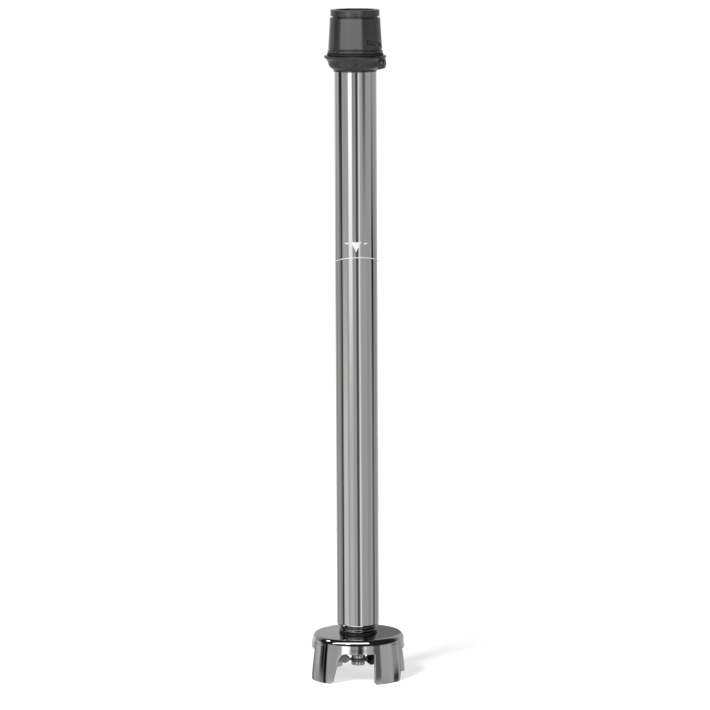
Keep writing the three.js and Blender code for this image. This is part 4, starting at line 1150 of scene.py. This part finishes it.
def makeBlade():
    spot = place("blade_hub")
    top = spot["bottom"] - gap
    middle = top - blade["thick"] / 2
    tip = place("blade")["radius"]
    points, faces = [], []
    sides = 12
    start = blade["width"][0][0]
    for i in range(blade["stations"] + 1):
        radius = start + (tip - start) * (i / blade["stations"]) ** 0.95
        scaled = radius * blade["tip"] / tip
        chord = blade["chord"] * between(blade["width"], scaled)
        pitch = math.radians(blade["pitch"] * between(blade["twist"], scaled))
        lift = middle + math.tan(math.radians(blade["rise"])) * max(0, radius - blade["riseFrom"])
        bite = 0
        for k in range(blade["scallops"]):
            off = radius - (blade["first"] + k * blade["step"]) * tip
            if abs(off) < blade["scallop"]:
                depth = math.sqrt(blade["scallop"] ** 2 - off ** 2)
                bite = max(bite, depth - blade["bite"] * blade["scallop"])
        half = blade["thick"] / 2
        front, back = bite - chord / 2, chord / 2
        section = [(front, half), (front, half - blade["edge"]),
                   (front + 0.6 * blade["bevel"], -0.55 * half), (front + blade["bevel"], -half),
                   (back * 0.3, -half), (back - 0.8, -half), (back - 0.25, -0.72 * half),
                   (back, -0.2 * half), (back, 0.3 * half), (back - 0.3, 0.78 * half), (back - 0.9, half),
                   (back * 0.3, half)]
        for along, up in section:
            points.append((radius * mm, (along * math.cos(pitch) - up * math.sin(pitch)) * mm,
                           (lift + along * math.sin(pitch) + up * math.cos(pitch)) * mm))
    for i in range(blade["stations"]):
        a, b = i * sides, (i + 1) * sides
        faces.extend((a + j, a + (j + 1) % sides, b + (j + 1) % sides, b + j) for j in range(sides))
    faces.append(tuple(range(sides)))
    faces.append(tuple(blade["stations"] * sides + j for j in range(sides)))
    wings = []
    for turn in (0, 180):
        wing = newPiece("wing", points, faces)
        wing.data.transform(Matrix.Rotation(math.radians(turn), 4, "Z"))
        wings.append(wing)
    low = top - blade["thick"]
    outline = rounded([(0, low), (blade["plate"], low, 0.3), (blade["plate"], top, 0.3), (0, top)])
    plate = carve(turned("blade", outline, 96), wings, "UNION")
    carve(plate, [prism("hole", 96, blade["hole"], low - 3, top + 3)])
    plate.name = "cutterBlade"
    # The blade takes the darkened steel, which is painted shade from inside the bell.
    fitPiece(plate, ["blade"], "bladeSteel")

    flats = [block("flat", (-hub["flatHalf"], low, spot["top"] - hub["flatLow"]),
                   (hub["flatHalf"], high, spot["top"] - hub["flatHigh"]))
             for low, high in ((-hub["flatSet"] - 1, -hub["flatSet"]), (hub["flatSet"], hub["flatSet"] + 1))]
    piece = ring("bladeHub", spot, blade["hole"], (0.3, 0.5, 0.4, 0.2))
    fitPiece(breakEdges(carve(piece, flats), 0.1), ["blade_hub"])

    cap, screw = place("blade_cap"), place("blade_screw")
    low, hole = cap["bottom"], shaft["hole"]
    outline = rounded([
        (screw["radius"] + fit, low, 0.1), (cap["radius"], low, 0.7), (cap["radius"], cap["top"], 0.3),
        (hole, cap["top"], 0.1), (hole, low + capRecess["depth"])])
    fitPiece(turned("bladeCap", outline, 128), ["blade_cap"])
    thread = screwThread["radius"]
    outline = [Vector((0, low)), Vector((screw["radius"] - 0.25, low)), Vector((screw["radius"], low + 0.25))]
    outline += [Vector((thread, low + screw["radius"] - thread + 0.2))]
    pitch, rise = screwThread["pitch"], low + screwThread["start"]
    while rise < screw["top"] - screwThread["end"]:
        outline += [Vector((thread, rise)), Vector((thread - screwThread["depth"], rise + pitch / 2))]
        rise += pitch
    outline += [Vector((thread - 0.6, screw["top"])), Vector((0, screw["top"]))]
    piece = turned("bladeScrew", outline, 64)
    carve(piece, [prism("socket", 6, screwThread["key"], low - 1, low + screwThread["keyDepth"])])
    fitPiece(piece, ["blade_screw"], "darkSteel")


makeDrive()
makeBlade()
for name, look in openRings.items():
    makeOpenRing(name, **look)
for name, node in frame["nodes"].items():
    if not node.hide_render:
        node.data.materials.clear()
        node.data.materials.append(finishes[finishOfSlot[slotOfNode[name]]])
        print("CAD node still shown:", name)
print("drive and blade made")


# Studio.

# Softboxes and flags round the tool, in degrees from the front towards +X: middle, half width, edge,
# and the brightness that the foot, the middle and the head of the tube reflect.
studio = {
    "base": 0.50, "strength": 1.0, "footRise": -9.8, "riseStep": 2.7,
    "panels": [
        (-160, 22, 14, 0.65, 0.62, 0.92), (-134, 6, 6, 0.27, 0.25, 0.50), (-114, 7, 6, 0.45, 0.45, 0.62),
        (-100, 6, 5, 0.34, 0.32, 0.12), (-95, 4, 4, 0.28, 0.26, 0.01), (-86, 5, 4, 0.03, 0.03, 0.0),
        (-64, 12, 7, 0.80, 0.56, 0.45), (-30, 11, 5, 0.66, 1.25, 1.75), (-13, 7, 7, 0.50, 0.47, 0.36),
        (5, 6, 4, 0.10, 0.09, 0.05), (18, 3, 3, 1.15, 1.20, 1.10), (26, 4, 5, 0.58, 0.56, 0.58),
        (34, 4, 5, 0.46, 0.47, 0.50), (47, 9, 5, 0.48, 0.52, 0.14), (68, 10, 7, 0.40, 0.44, 0.48),
        (100, 9, 5, 0.16, 0.0, 0.36), (124, 8, 8, 0.36, 0.34, 0.42), (164, 14, 14, 0.82, 0.62, 0.54)],
    "ceilingStart": 2, "ceilingEnd": 6, "ceiling": 0.02, "behindStart": 0.3, "behindEnd": 0.7,
    "backStart": 1.0, "backEnd": 5.0, "back": 0.46, "floorStart": -30, "floorEnd": -60, "floorGlow": 0.5,
    "green": 0.995, "blue": 0.975,
}


def ramp(value, start, end):
    return ((value - start) / (end - start)).clip()


def makeWorld():
    world = bpy.data.worlds.new("studio")
    bpy.context.scene.world = world
    world.use_nodes = True
    book = NodeBook(world.node_tree)
    x, y, z = book.split(book.add("ShaderNodeTexCoord", {}, {}, "Generated"))
    turn = book.add("ShaderNodeMath", {"operation": "ARCTAN2"}, {0: x, 1: -y}) * (180 / math.pi)
    rise = book.add("ShaderNodeMath", {"operation": "ARCSINE"}, {0: z}) * (180 / math.pi)
    middleRise = studio["footRise"] + studio["riseStep"]
    toMiddle = ramp(rise, studio["footRise"], middleRise)
    toHead = ramp(rise, middleRise, middleRise + studio["riseStep"])

    def sector(middle, half, edge):
        return ((half + edge / 2 - abs(turn - middle)) / edge).clip()

    light = studio["base"]
    for middle, half, edge, foot, centre, head in studio["panels"]:
        mask = sector(middle, half, edge)
        level = foot + (centre - foot) * toMiddle + (head - centre) * toHead
        light = light * (1 - mask) + level * mask

    rear = ramp(y, studio["behindStart"], studio["behindEnd"])
    behind = rear * ramp(rise, studio["backStart"], studio["backEnd"])
    light = light * (1 - behind) + studio["back"] * behind
    over = (1 - rear) * ramp(rise, studio["ceilingStart"], studio["ceilingEnd"])
    light = light * (1 - over) + studio["ceiling"] * over
    under = ramp(rise, studio["floorStart"], studio["floorEnd"])
    light = light * (1 - under) + studio["floorGlow"] * under
    colour = book.add("ShaderNodeCombineColor", {}, {
        0: light, 1: light * studio["green"], 2: light * studio["blue"]})
    glow = book.add("ShaderNodeBackground", {}, {"Color": colour, "Strength": studio["strength"]})
    plain = book.add("ShaderNodeBackground", {}, {"Color": white, "Strength": 1.0})
    seen = book.add("ShaderNodeLightPath", {}, {}, "Is Camera Ray")
    shown = book.add("ShaderNodeMixShader", {}, {0: seen, 1: glow, 2: plain})
    book.add("ShaderNodeOutputWorld", {}, {"Surface": shown})


floorLook = {"half": 20.0, "colour": (0.80, 0.80, 0.80), "glow": 0.60, "farGlow": 0.36, "far": 2.4}


def makeFloor():
    half = floorLook["half"]
    mesh = bpy.data.meshes.new("floor")
    corners = [(-half, -half, 0), (half, -half, 0), (half, half, 0), (-half, half, 0)]
    mesh.from_pydata(corners, [], [(0, 1, 2, 3)])
    floor = bpy.data.objects.new("floor", mesh)
    bpy.context.scene.collection.objects.link(floor)
    book, spot = newFinish("paleFloor")
    matt = book.add("ShaderNodeBsdfDiffuse", {}, {"Color": (*floorLook["colour"], 1)})
    x, y = book.split(spot)[:2]
    away = ((x * x + y * y) ** 0.5 / floorLook["far"]).clip()
    strength = floorLook["glow"] + floorLook["farGlow"] * away
    glow = book.add("ShaderNodeEmission", {}, {"Color": white, "Strength": strength})
    both = book.add("ShaderNodeAddShader", {}, {0: matt, 1: glow})
    behind = book.add("ShaderNodeNewGeometry", {}, {}, "Backfacing")
    clear = book.add("ShaderNodeBsdfTransparent", {}, {})
    closeFinish(book, book.add("ShaderNodeMixShader", {}, {0: behind, 1: both, 2: clear}))
    mesh.materials.append(finishes["paleFloor"])
    floor.visible_glossy = False


# Upright cards seen only in reflections: a flag behind the right half of the bell and a softbox
# in front of the sleeve.
cards = {
    "flag": {"low": (0.004, 0.085), "high": (0.10, 0.15), "depth": 0.32, "glow": 0.18},
    "softbox": {"low": (-2.0, 0.53), "high": (0.46, 0.95), "depth": -0.8, "glow": 2.6},
}


def makeCards():
    for name, card in cards.items():
        (left, low), (right, high), depth = card["low"], card["high"], card["depth"]
        mesh = bpy.data.meshes.new(name)
        corners = [(left, depth, low), (right, depth, low), (right, depth, high), (left, depth, high)]
        mesh.from_pydata(corners, [], [(0, 1, 2, 3)])
        item = bpy.data.objects.new(name, mesh)
        bpy.context.scene.collection.objects.link(item)
        book = newFinish(name + "Cloth")[0]
        closeFinish(book, book.add("ShaderNodeEmission", {}, {"Color": white, "Strength": card["glow"]}))
        mesh.materials.append(finishes[name + "Cloth"])
        item.visible_camera = False
        item.visible_diffuse = False
        item.visible_shadow = False


lamps = {
    "key": {"at": (-1.1, -1.5, 1.9), "size": 0.7, "power": 60, "glossy": False},
    "fill": {"at": (1.4, -1.6, 0.9), "size": 1.2, "power": 14, "glossy": False},
    "glint": {"at": (-1.1, -2.1, 1.35), "size": 0.40, "power": 3.5, "glossy": True},
    "sideGlint": {"at": (-2.3, 0.1, 1.5), "size": 0.40, "power": 3.5, "glossy": True},
}


def makeLamps():
    middle = Vector((0, 0, (cadLow.z + cadHigh.z) / 2))
    for name, lamp in lamps.items():
        light = bpy.data.lights.new(name, "AREA")
        light.shape = "SQUARE"
        light.size = lamp["size"]
        light.energy = lamp["power"]
        item = bpy.data.objects.new(name, light)
        item.location = lamp["at"]
        item.rotation_mode = "QUATERNION"
        item.rotation_quaternion = (middle - Vector(lamp["at"])).to_track_quat("-Z", "Y")
        item.visible_glossy = lamp["glossy"]
        bpy.context.scene.collection.objects.link(item)


view = {"rise": 7.8, "distance": 3.5, "lens": 215.0, "height": 0.2697, "aside": -0.0014, "roll": -0.3,
        "sensor": 36}


def makeCamera():
    camera = bpy.data.cameras.new("camera")
    camera.lens = view["lens"]
    camera.sensor_width = view["sensor"]
    item = bpy.data.objects.new("camera", camera)
    bpy.context.scene.collection.objects.link(item)
    rise = math.radians(view["rise"])
    back = Vector((0, -math.cos(rise), math.sin(rise)))
    item.rotation_mode = "QUATERNION"
    aim = (-back).to_track_quat("-Z", "Y").to_matrix() @ Matrix.Rotation(math.radians(view["roll"]), 3, "Z")
    item.rotation_quaternion = aim.to_quaternion()
    item.location = Vector((view["aside"], 0, view["height"])) + back * view["distance"]
    bpy.context.scene.camera = item


makeWorld()
makeFloor()
makeCards()
makeLamps()
makeCamera()
bpy.context.scene.view_settings.view_transform = "Standard"
print("studio made")
